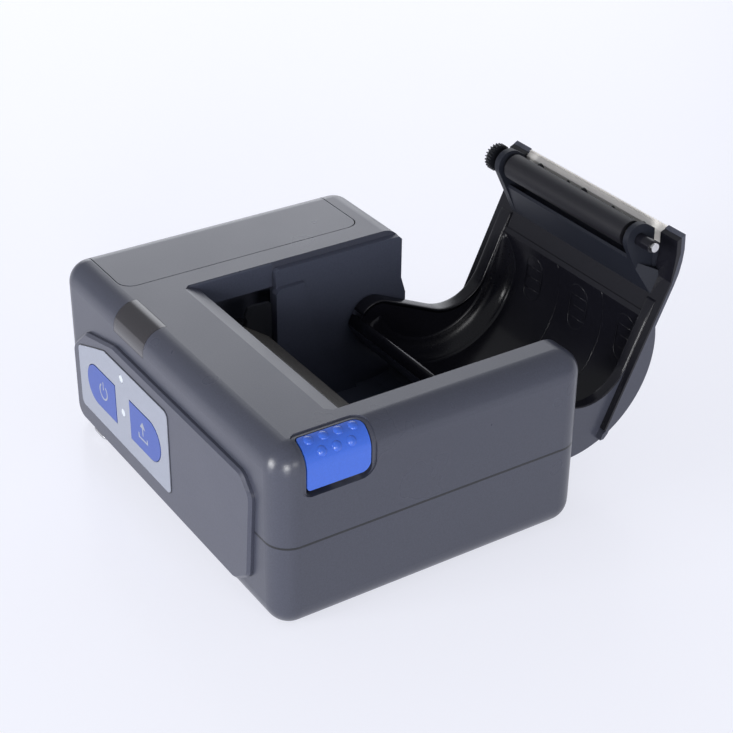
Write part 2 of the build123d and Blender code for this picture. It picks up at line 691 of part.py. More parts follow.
def coil_spring(x, y, z0, z1, radius, wire, turns):
    """A compression spring that stands along Z, on a route of short straight runs."""
    steps = int(turns * SPRING_STEPS)
    rise = (z1 - z0 - wire) / steps
    points = []
    for step in range(steps + 1):
        angle = 2 * math.pi * step / SPRING_STEPS
        points.append((x + radius * math.cos(angle), y + radius * math.sin(angle),
                       z0 + wire / 2 + rise * step))
    path = Polyline(*points)
    start = Plane(origin=path @ 0, z_dir=path % 0)
    section = start * RegularPolygon(wire / 2, 4)
    return sweep(section, path, transition=Transition.RIGHT)


def make_release_spring():
    return coil_spring(BODY_W / 2 - STEM_IN, LATCH_Y - LATCH_ARM, SHELF_Z + FIT, SPRING_TOP,
                       STEM_R + 1.2 * SPRING_WIRE, SPRING_WIRE, SPRING_TURNS)


def mech_ear():
    """The side plate of the print mechanism, notched for the platen's bush."""
    floor = MECH_FLOOR + MECH_PLATE
    return [
        (MECH_FRONT, floor), (MECH_REAR, floor), (MECH_REAR, MECH_TOP - 0.9),
        (MECH_REAR - 0.6, MECH_TOP - 0.3), (PLATEN_Y + 6.6, MECH_TOP),
        (PLATEN_Y + 5.6, MECH_TOP - 0.4), (PLATEN_Y + 4.6, MECH_TOP - 2.3),
        (PLATEN_Y + 5.3, MECH_TOP - 4.3), (PLATEN_Y + 4.7, PLATEN_Z - 4.1),
        (MECH_FRONT + 4.0, PLATEN_Z - 3.2), (MECH_FRONT, PLATEN_Z - 5.0)]


def make_mech_frame():
    floor = MECH_FLOOR + MECH_PLATE
    right_x = MECH_RIGHT + MECH_PLATE
    notch = rod_x(MECH_LEFT - 1, right_x + 4, PLATEN_Y, PLATEN_Z, BUSH_R + 0.35)
    left = side_plate(mech_ear(), MECH_LEFT, MECH_LEFT + MECH_PLATE) - notch
    right = side_plate(mech_ear(), MECH_RIGHT, right_x) - notch
    left -= rod_x(MECH_LEFT - 1, MECH_LEFT + 2, MECH_REAR - 2.2, MECH_TOP - 11.2, MECH_HOLE_R)
    cross = block(MECH_LEFT, right_x, MECH_FRONT - MECH_PLATE, MECH_FRONT, floor, MECH_BACK_TOP)
    base = block(MECH_LEFT, right_x, MECH_FRONT - MECH_PLATE, MECH_REAR, MECH_FLOOR, floor)
    frame = left + right + cross + base
    frame -= rod_x(MECH_LEFT - 1, MECH_LEFT + 2, MOTOR_Y, MOTOR_Z, 2.2)
    frame -= rod_x(MECH_LEFT - 1, MECH_LEFT + 2, IDLER_Y, IDLER_Z, POST_R)
    frame += rod_x(MECH_RIGHT, right_x + 0.5, LATCH_Y, LATCH_Z, LATCH_HUB)
    frame -= rod_x(MECH_RIGHT - 1, right_x + 3, LATCH_Y, LATCH_Z, LATCH_PIN_R)
    for x in (MECH_LEFT + 4.6, MECH_RIGHT - 8.5):
        frame += block(x, x + MECH_FOOT_W, PLATEN_Y - 4.7, PLATEN_Y - 4.7 + MECH_FOOT_L,
                       BAY_FLOOR_Z + BAY_FLOOR_T, MECH_FLOOR)
    return frame


HEAD_BACK_Y = PLATEN_Y - PLATEN_R - HEAD_GAP - HEAD_T


def make_print_head():
    return block(RUBBER_X0 + 1, RUBBER_X1 - 1, HEAD_BACK_Y, HEAD_BACK_Y + HEAD_T,
                 PLATEN_Z - HEAD_H + HEAD_ABOVE, PLATEN_Z + HEAD_ABOVE)


def make_head_heatsink():
    x0 = MECH_LEFT + MECH_PLATE + PART_GAP
    x1 = MECH_RIGHT - PART_GAP
    sink = block(x0, x1, HEAD_BACK_Y - SINK_T, HEAD_BACK_Y, PLATEN_Z - HEAD_H + 1.0,
                 PLATEN_Z + HEAD_ABOVE + 0.6)
    pitch = (x1 - x0) / SINK_HOLES
    hole = Pos(0, 0, PLATEN_Z - HEAD_H + 2.4) * Rot(90, 0, 0) * extrude(
        RegularPolygon(SINK_HOLE_R, 6), 2 * BODY_L, both=True)
    for index in range(SINK_HOLES):
        sink -= Pos(x0 + (index + 0.5) * pitch, 0, 0) * hole
    return sink


def make_head_springs():
    y1 = HEAD_BACK_Y - SINK_T
    middle = PLATEN_Z - 2.0
    leaf = [
        (MECH_FRONT, middle - 6.0), (MECH_FRONT + LEAF_T, middle - 6.0),
        (MECH_FRONT + LEAF_T, middle - 3.0), (y1, middle), (y1, middle + 1.5),
        (y1 - LEAF_T, middle + 1.5), (y1 - LEAF_T, middle + 0.1), (MECH_FRONT, middle - 2.8)]
    springs = []
    for share in (0.2, 0.48, 0.72):
        x = MECH_LEFT + share * (MECH_RIGHT - MECH_LEFT)
        springs.append(side_plate(leaf, x - SPRING_W / 2, x + SPRING_W / 2))
    return Compound(children=springs)


def make_paper_guide():
    radius = PLATEN_R + GUIDE_GAP
    curve = rod_x(RUBBER_X0, RUBBER_X1, PLATEN_Y, PLATEN_Z, radius + GUIDE_T)
    curve -= rod_x(RUBBER_X0 - 1, RUBBER_X1 + 1, PLATEN_Y, PLATEN_Z, radius)
    curve &= block(RUBBER_X0, RUBBER_X1, PLATEN_Y - 2.6, PLATEN_Y + 3.4, 0, PLATEN_Z - 3.0)
    start_y, start_z = polar(PLATEN_Y, PLATEN_Z, radius + GUIDE_T / 2, -52)
    back = MECH_REAR - 1.2
    slope = side_plate([
        (start_y - 1.0, start_z - 0.6), (start_y + 0.5, start_z + 0.6),
        (back, PLATEN_Z - 8.6), (MECH_REAR, PLATEN_Z - 10.2), (MECH_REAR, 12.0),
        (back, 12.0), (back, PLATEN_Z - 11.0)],
        MECH_LEFT + MECH_PLATE + PART_GAP, MECH_RIGHT - PART_GAP)
    return curve + slope


def make_paper_sensor():
    x0 = (MECH_LEFT + MECH_RIGHT) / 2 - SENSOR_W / 2
    z0 = PLATEN_Z - 17.6
    return block(x0, x0 + SENSOR_W, MECH_REAR - 5.4, MECH_REAR - 1.3, z0, z0 + SENSOR_H)


def make_stepper_motor():
    x0 = MECH_LEFT + MECH_PLATE
    can = rod_x(x0, x0 + MOTOR_L, MOTOR_Y, MOTOR_Z, MOTOR_R)
    can += rod_x(x0 - MECH_PLATE, x0, MOTOR_Y, MOTOR_Z, 2.1)
    return can - rod_x(x0 - 2, x0 + MOTOR_SHAFT_L, MOTOR_Y, MOTOR_Z, MOTOR_SHAFT_R + RUNNING)


def make_motor_pinion():
    gear = Pos(GEAR_X, MOTOR_Y, MOTOR_Z) * Rot(mesh_turn(PINION_TEETH, PINION_DEG + 180, False),
                                               0, 0) * spur_gear(PINION_TEETH, GEAR_W, 0.1)
    shaft = rod_x(GEAR_X - 0.3, MECH_LEFT + MECH_PLATE + MOTOR_SHAFT_L - 0.4,
                  MOTOR_Y, MOTOR_Z, MOTOR_SHAFT_R)
    return gear + shaft


def make_idler_gear():
    gear = spur_gear(IDLER_TEETH, GEAR_W, POST_R + RUNNING)
    return Pos(GEAR_X, IDLER_Y, IDLER_Z) * Rot(PINION_DEG, 0, 0) * gear


def make_idler_post():
    post = rod_x(GEAR_X - 0.5, MECH_LEFT + MECH_PLATE, IDLER_Y, IDLER_Z, POST_R)
    return post + rod_x(GEAR_X - 0.8, GEAR_X - 0.2, IDLER_Y, IDLER_Z, POST_R + 0.5)


def make_hinge_pin(left):
    if left:
        return rod_x(BAY_LEFT - BAY_WALL_T, DRUM_X0 + KNUCKLE_W, HINGE_Y, HINGE_Z, PIN_R)
    return rod_x(DRUM_X1 - KNUCKLE_W, BAY_RIGHT + BAY_WALL_T, HINGE_Y, HINGE_Z, PIN_R)


def make_latch_pin():
    return rod_x(MECH_RIGHT - 0.6, LATCH_X + LATCH_T + 0.8, LATCH_Y, LATCH_Z, LATCH_PIN_R)


def make_main_board():
    top = BATTERY_Z + MAIN_T
    board = block(MAIN_X0, MAIN_X1, MAIN_FRONT, MAIN_REAR, BATTERY_Z, top)
    board += block(MAIN_X0 + 11, MAIN_X0 + 23, MAIN_FRONT + 3, MAIN_FRONT + 11, top, top + 1.6)
    board += block(MAIN_X1 - 25, MAIN_X1 - 12, MAIN_FRONT + 2, MAIN_FRONT + 10, top, top + 1.8)
    board += block(MAIN_X0 + 26, MAIN_X0 + 38, MAIN_REAR - 4.4, MAIN_REAR - 0.6, top, top + 3.4)
    for x in (MAIN_X0 + 4, MAIN_X1 - 4):
        board += flat_post(x, MAIN_FRONT + 8, WALL, BATTERY_Z, MAIN_POST_R)
    return board


def make_fiscal_memory():
    x0 = (MAIN_X0 + MAIN_X1) / 2 + 3.0
    top = BATTERY_Z + MAIN_T
    module = block(x0, x0 + 9, MAIN_FRONT + 1.5, MAIN_REAR - 1.9, top, top + 5.9)
    return chamfer(module.edges().filter_by(Axis.Z), 1.0)


def make_sounder():
    x, y = MAIN_X1 - 6.0, (MAIN_FRONT + MAIN_REAR) / 2 + 2.5
    top = BATTERY_Z + MAIN_T
    can = flat_post(x, y, top, top + 4.0, 3.6, 16)
    return can - flat_post(x, y, top + 3.0, top + 5.0, 0.6)


def make_battery_contacts():
    blades = []
    for index in range(3):
        y = CELL_FRONT + BLADE_PITCH * (index + 1)
        blades.append(block(CELL_X1 + 0.4, CELL_X1 + 1.3, y - 0.6, y + 0.6,
                            BATTERY_Z, BATTERY_Z + BLADE_H))
    return Compound(children=blades)


def make_head_cable():
    back = HEAD_BACK_Y - SINK_T - FIT
    low = MECH_FRONT - MECH_PLATE - 0.8
    bend = MECH_BACK_TOP + 0.8
    foot = BATTERY_Z + 5.0
    outline = [
        (back, PLATEN_Z - 9.0), (back, bend), (low, bend), (low, foot), (low + CABLE_T, foot),
        (low + CABLE_T, bend - CABLE_T), (back - CABLE_T, bend - CABLE_T),
        (back - CABLE_T, PLATEN_Z - 9.0)]
    x0 = MECH_LEFT + 0.2 * (MECH_RIGHT - MECH_LEFT) + SPRING_W / 2 + 1.5
    return side_plate(outline, x0, x0 + CABLE_W)


def make_charge_socket():
    y1 = BODY_L / 2 - WALL - PART_GAP
    body = block(SOCKET_X - SOCKET_SIDE, SOCKET_X + SOCKET_SIDE, y1 - SOCKET_L, y1,
                 SOCKET_Z - SOCKET_SIDE, SOCKET_Z + SOCKET_SIDE)
    body += rod_y(SOCKET_X, y1 - 1, BODY_L / 2 - 0.4, SOCKET_Z, SOCKET_R)
    body -= rod_y(SOCKET_X, y1 - SOCKET_L + 2, BODY_L, SOCKET_Z, SOCKET_BORE_R)
    return body


def make_case_screws():
    screws = []
    for x, y in screw_places():
        head = flat_post(x, y, SCREW_HEAD_Z - SCREW_HEAD_T, SCREW_HEAD_Z, SCREW_HEAD_R,
                         SCREW_SIDES)
        shank = flat_post(x, y, SCREW_HEAD_Z, SCREW_HEAD_Z + SCREW_L, SCREW_R)
        screws.append(head + shank)
    return Compound(children=screws)


def strap_wire(radius):
    """The route of the strap eye, let into the lower front edge at the left."""
    y0 = -BODY_L / 2 + 1.2
    x0, x1 = EYE_X0, EYE_X0 + EYE_W
    path = Polyline((x0, y0 + 4.6, 3.6), (x0, y0 + 1.2, 2.5), (x0 + 1.2, y0, 2.2),
                    (x1 - 1.2, y0, 2.2), (x1, y0 + 1.2, 2.5), (x1, y0 + 4.6, 3.6))
    start = Plane(origin=path @ 0, z_dir=path % 0)
    return sweep(start * RegularPolygon(radius, EYE_SIDES), path, transition=Transition.RIGHT)


def make_strap_eye():
    return strap_wire(EYE_WIRE_R)


def nose_point(along, down):
    """A point on the cover's front edge, along it from the tip and down from its skin."""
    across, up = math.cos(NOSE_SLOPE), math.sin(NOSE_SLOPE)
    y = COVER_FRONT + along * across + down * up
    z = COVER_TOP - NOSE_DROP + along * up - down * across
    return y, z


def drum_wall(x0, x1, outer, inner, low):
    """A curved wall about the paper roll, open towards the bay, from a height up in front."""
    ring = rod_x(x0, x1, DRUM_Y, DRUM_Z, outer) - rod_x(x0 - 1, x1 + 1, DRUM_Y, DRUM_Z, inner)
    top = block(x0, x1, DRUM_Y - HALF_CHORD, DRUM_Y, low, BODY_H + 20)
    rear = block(x0, x1, DRUM_Y, DRUM_Y + 40, DRUM_END_Z, BODY_H + 20)
    return ring & (top + rear)


def side_crescent(x0, x1, radius, low):
    """The drum's side wall: the roll's outline less the space that the roll is seen in."""
    disc = rod_x(x0, x1, DRUM_Y, DRUM_Z, radius)
    turn_r = LINER_BACK_Y - LINER_TOP_Y
    turn_z = UNDER_Z - turn_r
    keep = block(x0, x1, DRUM_Y - 19, DRUM_Y + 40, low, BODY_H + 20)
    keep += block(x0, x1, LINER_BACK_Y, DRUM_Y + 40, DRUM_END_Z, BODY_H + 20)
    corner = block(x0, x1, LINER_TOP_Y, LINER_BACK_Y, turn_z, UNDER_Z)
    keep += corner - rod_x(x0 - 1, x1 + 1, LINER_TOP_Y, turn_z, turn_r)
    foot = block(x0, x1, LINER_BACK_Y - 0.01, LINER_BACK_Y + LINER_FOOT_R, DRUM_END_Z,
                 DRUM_END_Z + LINER_FOOT_R)
    keep -= foot - rod_x(x0 - 1, x1 + 1, LINER_BACK_Y + LINER_FOOT_R,
                         DRUM_END_Z + LINER_FOOT_R, LINER_FOOT_R)
    return disc & keep


def make_cover_shell():
    inner_y = COVER_REAR - SKIN_T
    skin = side_plate([
        nose_point(0, 0), (COVER_FRONT + 3.9, COVER_TOP - 1.95),
        (COVER_FRONT + 7.0, COVER_TOP - 0.9), (COVER_FRONT + 10.2, COVER_TOP - 0.2),
        (COVER_FRONT + 13.95, COVER_TOP), (COVER_REAR - 2.4, COVER_TOP),
        (COVER_REAR - 0.7, COVER_TOP - 0.6), (COVER_REAR, COVER_TOP - 2.2),
        (COVER_REAR, COVER_REAR_Z), (inner_y, COVER_REAR_Z), (inner_y, COVER_TOP - 2.4),
        (COVER_REAR - 3.0, COVER_TOP - SKIN_T), (COVER_FRONT + 13.5, COVER_TOP - SKIN_T),
        nose_point(NOSE_L, NOSE_T), nose_point(0.6, NOSE_T)], COVER_X0, COVER_X1)
    skin -= block(COVER_X0 - 1, DRUM_X0, HINGE_Y - 2, BODY_L, 0, UNDER_Z)
    skin -= block(DRUM_X1, COVER_X1 + 1, HINGE_Y - 2, BODY_L, 0, UNDER_Z)
    skin -= side_plate([nose_point(-1, -1), nose_point(NOSE_RECESS, -1),
                        nose_point(NOSE_RECESS, NOSE_T + 1), nose_point(-1, NOSE_T + 1)],
                       BAR_X0 - FIT, BAR_X1 + FIT)
    skin -= rod_x(DRUM_X0 + DRUM_SIDE_T, DRUM_X1 - DRUM_SIDE_T, DRUM_Y, DRUM_Z,
                  DRUM_R - DRUM_T)
    low = COVER_TOP - SKIN_T
    shell = skin + drum_wall(DRUM_X0, DRUM_X1, DRUM_R, DRUM_R - DRUM_T, low)
    for x0, x1 in ((DRUM_X0, DRUM_X0 + DRUM_SIDE_T), (DRUM_X1 - DRUM_SIDE_T, DRUM_X1)):
        shell += side_crescent(x0, x1, DRUM_R - DRUM_T / 2, low)
    for x0, x1 in ((DRUM_X0, DRUM_X0 + KNUCKLE_W), (DRUM_X1 - KNUCKLE_W, DRUM_X1)):
        shell += rod_x(x0, x1, HINGE_Y, HINGE_Z, KNUCKLE_R)
    shell -= rod_x(COVER_X0 - 1, COVER_X1 + 1, HINGE_Y, HINGE_Z, PIN_R + RUNNING)
    return shell


def make_tear_bar():
    down = BAR_TIP_DOWN
    plane = Plane(origin=(0, *nose_point(0, down)), x_dir=(1, 0, 0),
                  z_dir=(0, math.sin(NOSE_SLOPE), -math.cos(NOSE_SLOPE)))
    outline = [(BAR_X1, -1.0), (BAR_X0, -1.0)]
    count = int((BAR_X1 - BAR_X0) / TOOTH_PITCH)
    for index in range(count):
        x = BAR_X0 + index * TOOTH_PITCH
        outline += [(x, -TOOTH_H), (x + TOOTH_PITCH / 2, 0)]
    outline.append((BAR_X1, -TOOTH_H))
    blade = extrude(plane * make_face(Polyline(*outline, close=True)), BAR_T)
    seat = NOSE_T + 0.05
    bend = side_plate([
        nose_point(0.8, down), nose_point(1.0, down), nose_point(2.0, seat),
        nose_point(BAR_DEPTH, seat), nose_point(BAR_DEPTH, seat + BAR_T),
        nose_point(1.7, seat + BAR_T), nose_point(0.8, down + BAR_T)], BAR_X0, BAR_X1)
    return blade + bend


def rim_plate(x0, x1, y0):
    """The black plate under the cover's skin, between two sides, from y0 to the rear."""
    top = COVER_TOP - SKIN_T - 0.01
    return block(x0, x1, y0, COVER_REAR - 3.2, UNDER_Z, top)


def make_cover_liner():
    x0 = TROUGH_LEFT - LINER_T
    x1 = TROUGH_RIGHT + LINER_T
    outer = DRUM_R - DRUM_T - 0.02
    liner = drum_wall(x0, x1, outer, outer - LINER_T, UNDER_Z)
    liner &= block(x0, x1, DRUM_Y - HALF_CHORD, DRUM_Y + 40, DRUM_END_Z, BODY_H + 20)
    rim = rim_plate(COVER_X0, COVER_X1, COVER_FRONT + 13.6)
    for side in (DRUM_X0, DRUM_X1 - DRUM_SIDE_T):
        rim -= block(side - 0.02, side + DRUM_SIDE_T + 0.02, LINER_BACK_Y - 0.02, BODY_L, 0,
                     BODY_H + 20)
    rim -= block(TROUGH_LEFT, TROUGH_RIGHT, TROUGH_FRONT, BODY_L, 0,
                 COVER_TOP - SKIN_T - TROUGH_FLOOR_T)
    rim -= rod_x(TROUGH_LEFT, TROUGH_RIGHT, DRUM_Y, DRUM_Z, outer - LINER_T)
    liner += rim
    for side in (x0, x1 - LINER_T):
        liner += side_crescent(side, side + LINER_T, outer, UNDER_Z)
    for side0, side1 in ((COVER_X0, BAR_X0 - FIT), (BAR_X1 + FIT, COVER_X1)):
        liner += side_plate([
            nose_point(0.7, NOSE_T + 0.01), nose_point(NOSE_L, NOSE_T + 0.01),
            (COVER_FRONT + 13.7, COVER_TOP - SKIN_T - 0.01), (COVER_FRONT + 15, UNDER_Z),
            (COVER_FRONT + 13.2, UNDER_Z), nose_point(NOSE_L, NOSE_BLOCK_T),
            nose_point(1.2, NOSE_BLOCK_T)], side0, side1)
    return liner


def ear_outline(x0, x1):
    ear = rod_x(x0, x1, PLATEN_Y, PLATEN_Z, EAR_R)
    y0, z0 = polar(PLATEN_Y, PLATEN_Z, EAR_R, 180)
    y1, z1 = polar(PLATEN_Y, PLATEN_Z, EAR_R, -42)
    foot = UNDER_Z - 0.02
    return ear + side_plate([(y0, z0), (y1, z1), (TROUGH_FRONT - 0.5, foot),
                             (TROUGH_FRONT - 5.8, foot), (PLATEN_Y + 1.3, foot - 2.8),
                             (y0 + 0.4, PLATEN_Z + 3.6)], x0, x1)


def make_platen_bracket():
    foot = UNDER_Z - 0.02
    right1 = EAR_RIGHT_X + EAR_RIGHT_T
    bracket = ear_outline(EAR_LEFT_X, EAR_LEFT_X + EAR_LEFT_T)
    bracket += ear_outline(EAR_RIGHT_X, right1)
    bracket += side_plate([
        (WEB_Y - 0.8, WEB_LOW), (WEB_Y, WEB_LOW - 0.2), (TROUGH_FRONT - 0.5, foot),
        (TROUGH_FRONT - 5.8, foot)], EAR_LEFT_X, right1)
    gusset = make_face(Polyline((right1 - 0.1, foot - GUSSET_H), (right1 + GUSSET_REACH, foot),
                                (right1 - 0.1, foot), close=True))
    bracket += front_plate(gusset, WEB_Y, TROUGH_FRONT - 0.6 - WEB_Y) & ear_outline(
        EAR_RIGHT_X, right1 + GUSSET_REACH)
    return bracket - rod_x(EAR_LEFT_X - 1, right1 + 1, PLATEN_Y, PLATEN_Z, BUSH_R + BUSH_FIT)


def make_platen_bush_left():
    bush = rod_x(MECH_LEFT - 0.1, EAR_LEFT_X + EAR_LEFT_T, PLATEN_Y, PLATEN_Z, BUSH_R)
    return bush - rod_x(MECH_LEFT - 5, RUBBER_X1, PLATEN_Y, PLATEN_Z, SHAFT_R + RUNNING)


def make_platen_bush_right():
    bush = rod_x(EAR_RIGHT_X, SHAFT_END - 1.0, PLATEN_Y, PLATEN_Z, BUSH_R)
    return bush - rod_x(RUBBER_X0, BODY_W, PLATEN_Y, PLATEN_Z, SHAFT_R + RUNNING)


def make_platen_shaft():
    shaft = rod_x(GEAR_X - 0.3, SHAFT_END, PLATEN_Y, PLATEN_Z, SHAFT_R)
    return shaft + rod_x(RUBBER_X0, RUBBER_X1, PLATEN_Y, PLATEN_Z, PLATEN_CORE_R)


def make_platen_rubber():
    tube = rod_x(RUBBER_X0, RUBBER_X1, PLATEN_Y, PLATEN_Z, PLATEN_R)
    return tube - rod_x(RUBBER_X0 - 1, RUBBER_X1 + 1, PLATEN_Y, PLATEN_Z, PLATEN_CORE_R)


def make_platen_gear():
    share = (IDLER_DEG - PINION_DEG) * IDLER_TEETH / 360
    phase = share - math.floor(share)
    turn = IDLER_DEG + 180 / PLATEN_TEETH + phase * 360 / PLATEN_TEETH
    gear = spur_gear(PLATEN_TEETH, GEAR_W, SHAFT_R)
    return Pos(GEAR_X, PLATEN_Y, PLATEN_Z) * Rot(turn, 0, 0) * gear


FIXED = {
    "bottom_shell": make_bottom_shell,
    "top_shell": make_top_shell,
    "bay_frame": make_bay_frame,
    "battery_lid": make_battery_lid,
    "battery_pack": make_battery_pack,
    "battery_contacts": make_battery_contacts,
    "front_panel": make_front_panel,
    "keypad_label": make_keypad_label,
    "key_power": lambda: make_key(POWER_X, True),
    "key_feed": lambda: make_key(FEED_X, False),
    "keypad_board": make_keypad_board,
    "led_lenses": make_led_lenses,
    "ir_window": make_ir_window,
    "release_button": make_release_button,
    "release_spring": make_release_spring,
    "latch_lever": make_latch_lever,
    "latch_pin": make_latch_pin,
    "mech_frame": make_mech_frame,
    "print_head": make_print_head,
    "head_heatsink": make_head_heatsink,
    "head_springs": make_head_springs,
    "head_cable": make_head_cable,
    "paper_guide": make_paper_guide,
    "paper_sensor": make_paper_sensor,
    "stepper_motor": make_stepper_motor,
    "motor_pinion": make_motor_pinion,
    "idler_gear": make_idler_gear,
    "idler_post": make_idler_post,
    "hinge_pin_left": lambda: make_hinge_pin(True),
    "hinge_pin_right": lambda: make_hinge_pin(False),
    "main_board": make_main_board,
    "fiscal_memory": make_fiscal_memory,
    "sounder": make_sounder,
    "charge_socket": make_charge_socket,
    "case_screws": make_case_screws,
    "strap_eye": make_strap_eye,
}
ON_COVER = {
    "cover_shell": make_cover_shell,
    "cover_liner": make_cover_liner,
    "tear_bar": make_tear_bar,
    "platen_bracket": make_platen_bracket,
    "platen_bush_left": make_platen_bush_left,
    "platen_bush_right": make_platen_bush_right,
    "platen_shaft": make_platen_shaft,
    "platen_rubber": make_platen_rubber,
    "platen_gear": make_platen_gear,
}

os.makedirs("parts", exist_ok=True)
for name, maker in FIXED.items():
    export_step(maker(), f"parts/{name}.step")
for name, maker in ON_COVER.items():
    export_step(opened(maker()), f"parts/{name}.step")
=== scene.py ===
import bmesh
import bpy
import json
import math
from mathutils import Matrix, Vector


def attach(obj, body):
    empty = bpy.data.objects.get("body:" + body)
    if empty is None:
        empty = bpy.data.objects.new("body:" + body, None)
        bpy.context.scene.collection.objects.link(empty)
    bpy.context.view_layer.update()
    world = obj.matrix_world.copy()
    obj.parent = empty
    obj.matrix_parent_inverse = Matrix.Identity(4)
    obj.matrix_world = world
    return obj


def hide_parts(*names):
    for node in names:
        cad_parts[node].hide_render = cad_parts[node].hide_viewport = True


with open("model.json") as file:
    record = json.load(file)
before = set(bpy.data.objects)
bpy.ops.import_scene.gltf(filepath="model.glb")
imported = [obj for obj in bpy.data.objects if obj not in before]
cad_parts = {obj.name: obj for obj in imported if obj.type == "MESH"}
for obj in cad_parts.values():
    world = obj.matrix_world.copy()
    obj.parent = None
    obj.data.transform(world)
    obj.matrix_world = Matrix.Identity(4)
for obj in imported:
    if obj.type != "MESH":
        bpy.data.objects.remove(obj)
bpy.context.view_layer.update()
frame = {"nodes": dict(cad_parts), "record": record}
bpy.context.scene.view_settings.view_transform = "Standard"

MM = 0.001

# The photograph's camera: place in metres, angles in degrees, focal length in pixels
CAMERA_PLACE = Vector((323.72, -195.57, 256.33)) * MM
CAMERA_TURN = 56.753
CAMERA_RISE = 30.771
CAMERA_ROLL = 0.725
SENSOR = 36.0
FOCAL_PIXELS = 1688.6
PHOTO_PIXELS = 733.0
CLIP_NEAR = 0.01
CLIP_FAR = 50.0

# The cover's hinge, and how far the cover stands open at rest. Places and sizes of pieces
# are in millimetres from here on.
HINGE_Y = 38.7
HINGE_Z = 23.9
OPEN_DEG = 114.5

# Places on the closed cover
DRUM_Y = 22.45
DRUM_Z = 29.6
DRUM_X0 = -22.6
DRUM_X1 = 43.7
DRUM_END_Z = 11.0
DRUM_END_Y0 = 39.5
DRUM_END_Y1 = 42.9
LINER_R = 25.23
TROUGH_LEFT = -18.0
TROUGH_RIGHT = 40.5
UNDER_Z = 48.6
RIM_TURN_Y = 19.5
RIM_BACK_Y = 33.0
RIM_FOOT_R = 6.0
TIP_Y = -18.95
TIP_Z = 46.2
NOSE_SLOPE = math.radians(27.2)

# Front panel
PANEL_Y = -45.6
LABEL_X0 = -45.6
LABEL_X1 = 6.5
LABEL_LOW = 11.2
LABEL_HIGH = 35.4
KEY_FACE_Y = PANEL_Y - 0.35
POWER_X = -31.9
FEED_X = -6.4
KEY_MIDDLE_Z = 22.15

# Release button
BUTTON_MIDDLE_Y = -27.5
BUTTON_ARC_X = 51.0
BUTTON_ARC_Z = 43.8
BUTTON_ARC_R = 5.8
BUMP_PITCH = 3.95

# Strap eye
EYE_X0 = -46.0
EYE_X1 = -38.0
EYE_Y = -42.9


def camera():
    """Stands where the photograph was taken from."""
    turn = math.radians(CAMERA_TURN)
    rise = math.radians(CAMERA_RISE)
    roll = math.radians(CAMERA_ROLL)
    back = Vector((math.sin(turn) * math.cos(rise), -math.cos(turn) * math.cos(rise),
                   math.sin(rise)))
    right = Vector((math.cos(turn), math.sin(turn), 0.0))
    up = back.cross(right)
    right_rolled = right * math.cos(roll) + up * math.sin(roll)
    up_rolled = up * math.cos(roll) - right * math.sin(roll)
    data = bpy.data.cameras.new("camera")
    data.sensor_width = SENSOR
    data.lens = FOCAL_PIXELS / PHOTO_PIXELS * SENSOR
    data.clip_start = CLIP_NEAR
    data.clip_end = CLIP_FAR
    eye = bpy.data.objects.new("camera", data)
    axes = Matrix((right_rolled, up_rolled, back)).transposed()
    eye.matrix_world = Matrix.Translation(CAMERA_PLACE) @ axes.to_4x4()
    bpy.context.scene.collection.objects.link(eye)
    bpy.context.scene.camera = eye


camera()


NOISE_DETAIL = 3.0
NOISE_LOW = 0.2
NOISE_HIGH = 0.8

# Changes of tone in each metre, and the grain's depth in metres
SLOW_SCALE = 45.0
GRAIN_DEPTH = 0.0001
COAT_ROUGHNESS = 0.12


def noise(tree, scale, stretch=None):
    """A noise texture in the piece's own frame."""
    place = tree.nodes.new("ShaderNodeTexCoord")
    texture = tree.nodes.new("ShaderNodeTexNoise")
    texture.inputs["Scale"].default_value = scale
    texture.inputs["Detail"].default_value = NOISE_DETAIL
    if stretch is None:
        tree.links.new(place.outputs["Object"], texture.inputs["Vector"])
    else:
        mapping = tree.nodes.new("ShaderNodeMapping")
        mapping.inputs["Scale"].default_value = stretch
        tree.links.new(place.outputs["Object"], mapping.inputs["Vector"])
        tree.links.new(mapping.outputs["Vector"], texture.inputs["Vector"])
    return texture.outputs["Fac"]


def remap(tree, value, low, high):
    """Eases a noise value into a range."""
    node = tree.nodes.new("ShaderNodeMapRange")
    node.interpolation_type = "SMOOTHSTEP"
    node.inputs["From Min"].default_value = NOISE_LOW
    node.inputs["From Max"].default_value = NOISE_HIGH
    node.inputs["To Min"].default_value = low
    node.inputs["To Max"].default_value = high
    tree.links.new(value, node.inputs["Value"])
    return node.outputs["Result"]


def blend_colours(tree, value, dark, light):
    """A colour between two, by a value from nought to one."""
    node = tree.nodes.new("ShaderNodeMix")
    node.data_type = "RGBA"
    node.inputs["A"].default_value = (*dark, 1.0)
    node.inputs["B"].default_value = (*light, 1.0)
    tree.links.new(value, node.inputs["Factor"])
    return node.outputs["Result"]


def bump(tree, value, strength):
    """A fine relief that follows a value."""
    node = tree.nodes.new("ShaderNodeBump")
    node.inputs["Strength"].default_value = strength
    node.inputs["Distance"].default_value = GRAIN_DEPTH
    tree.links.new(value, node.inputs["Height"])
    return node.outputs["Normal"]


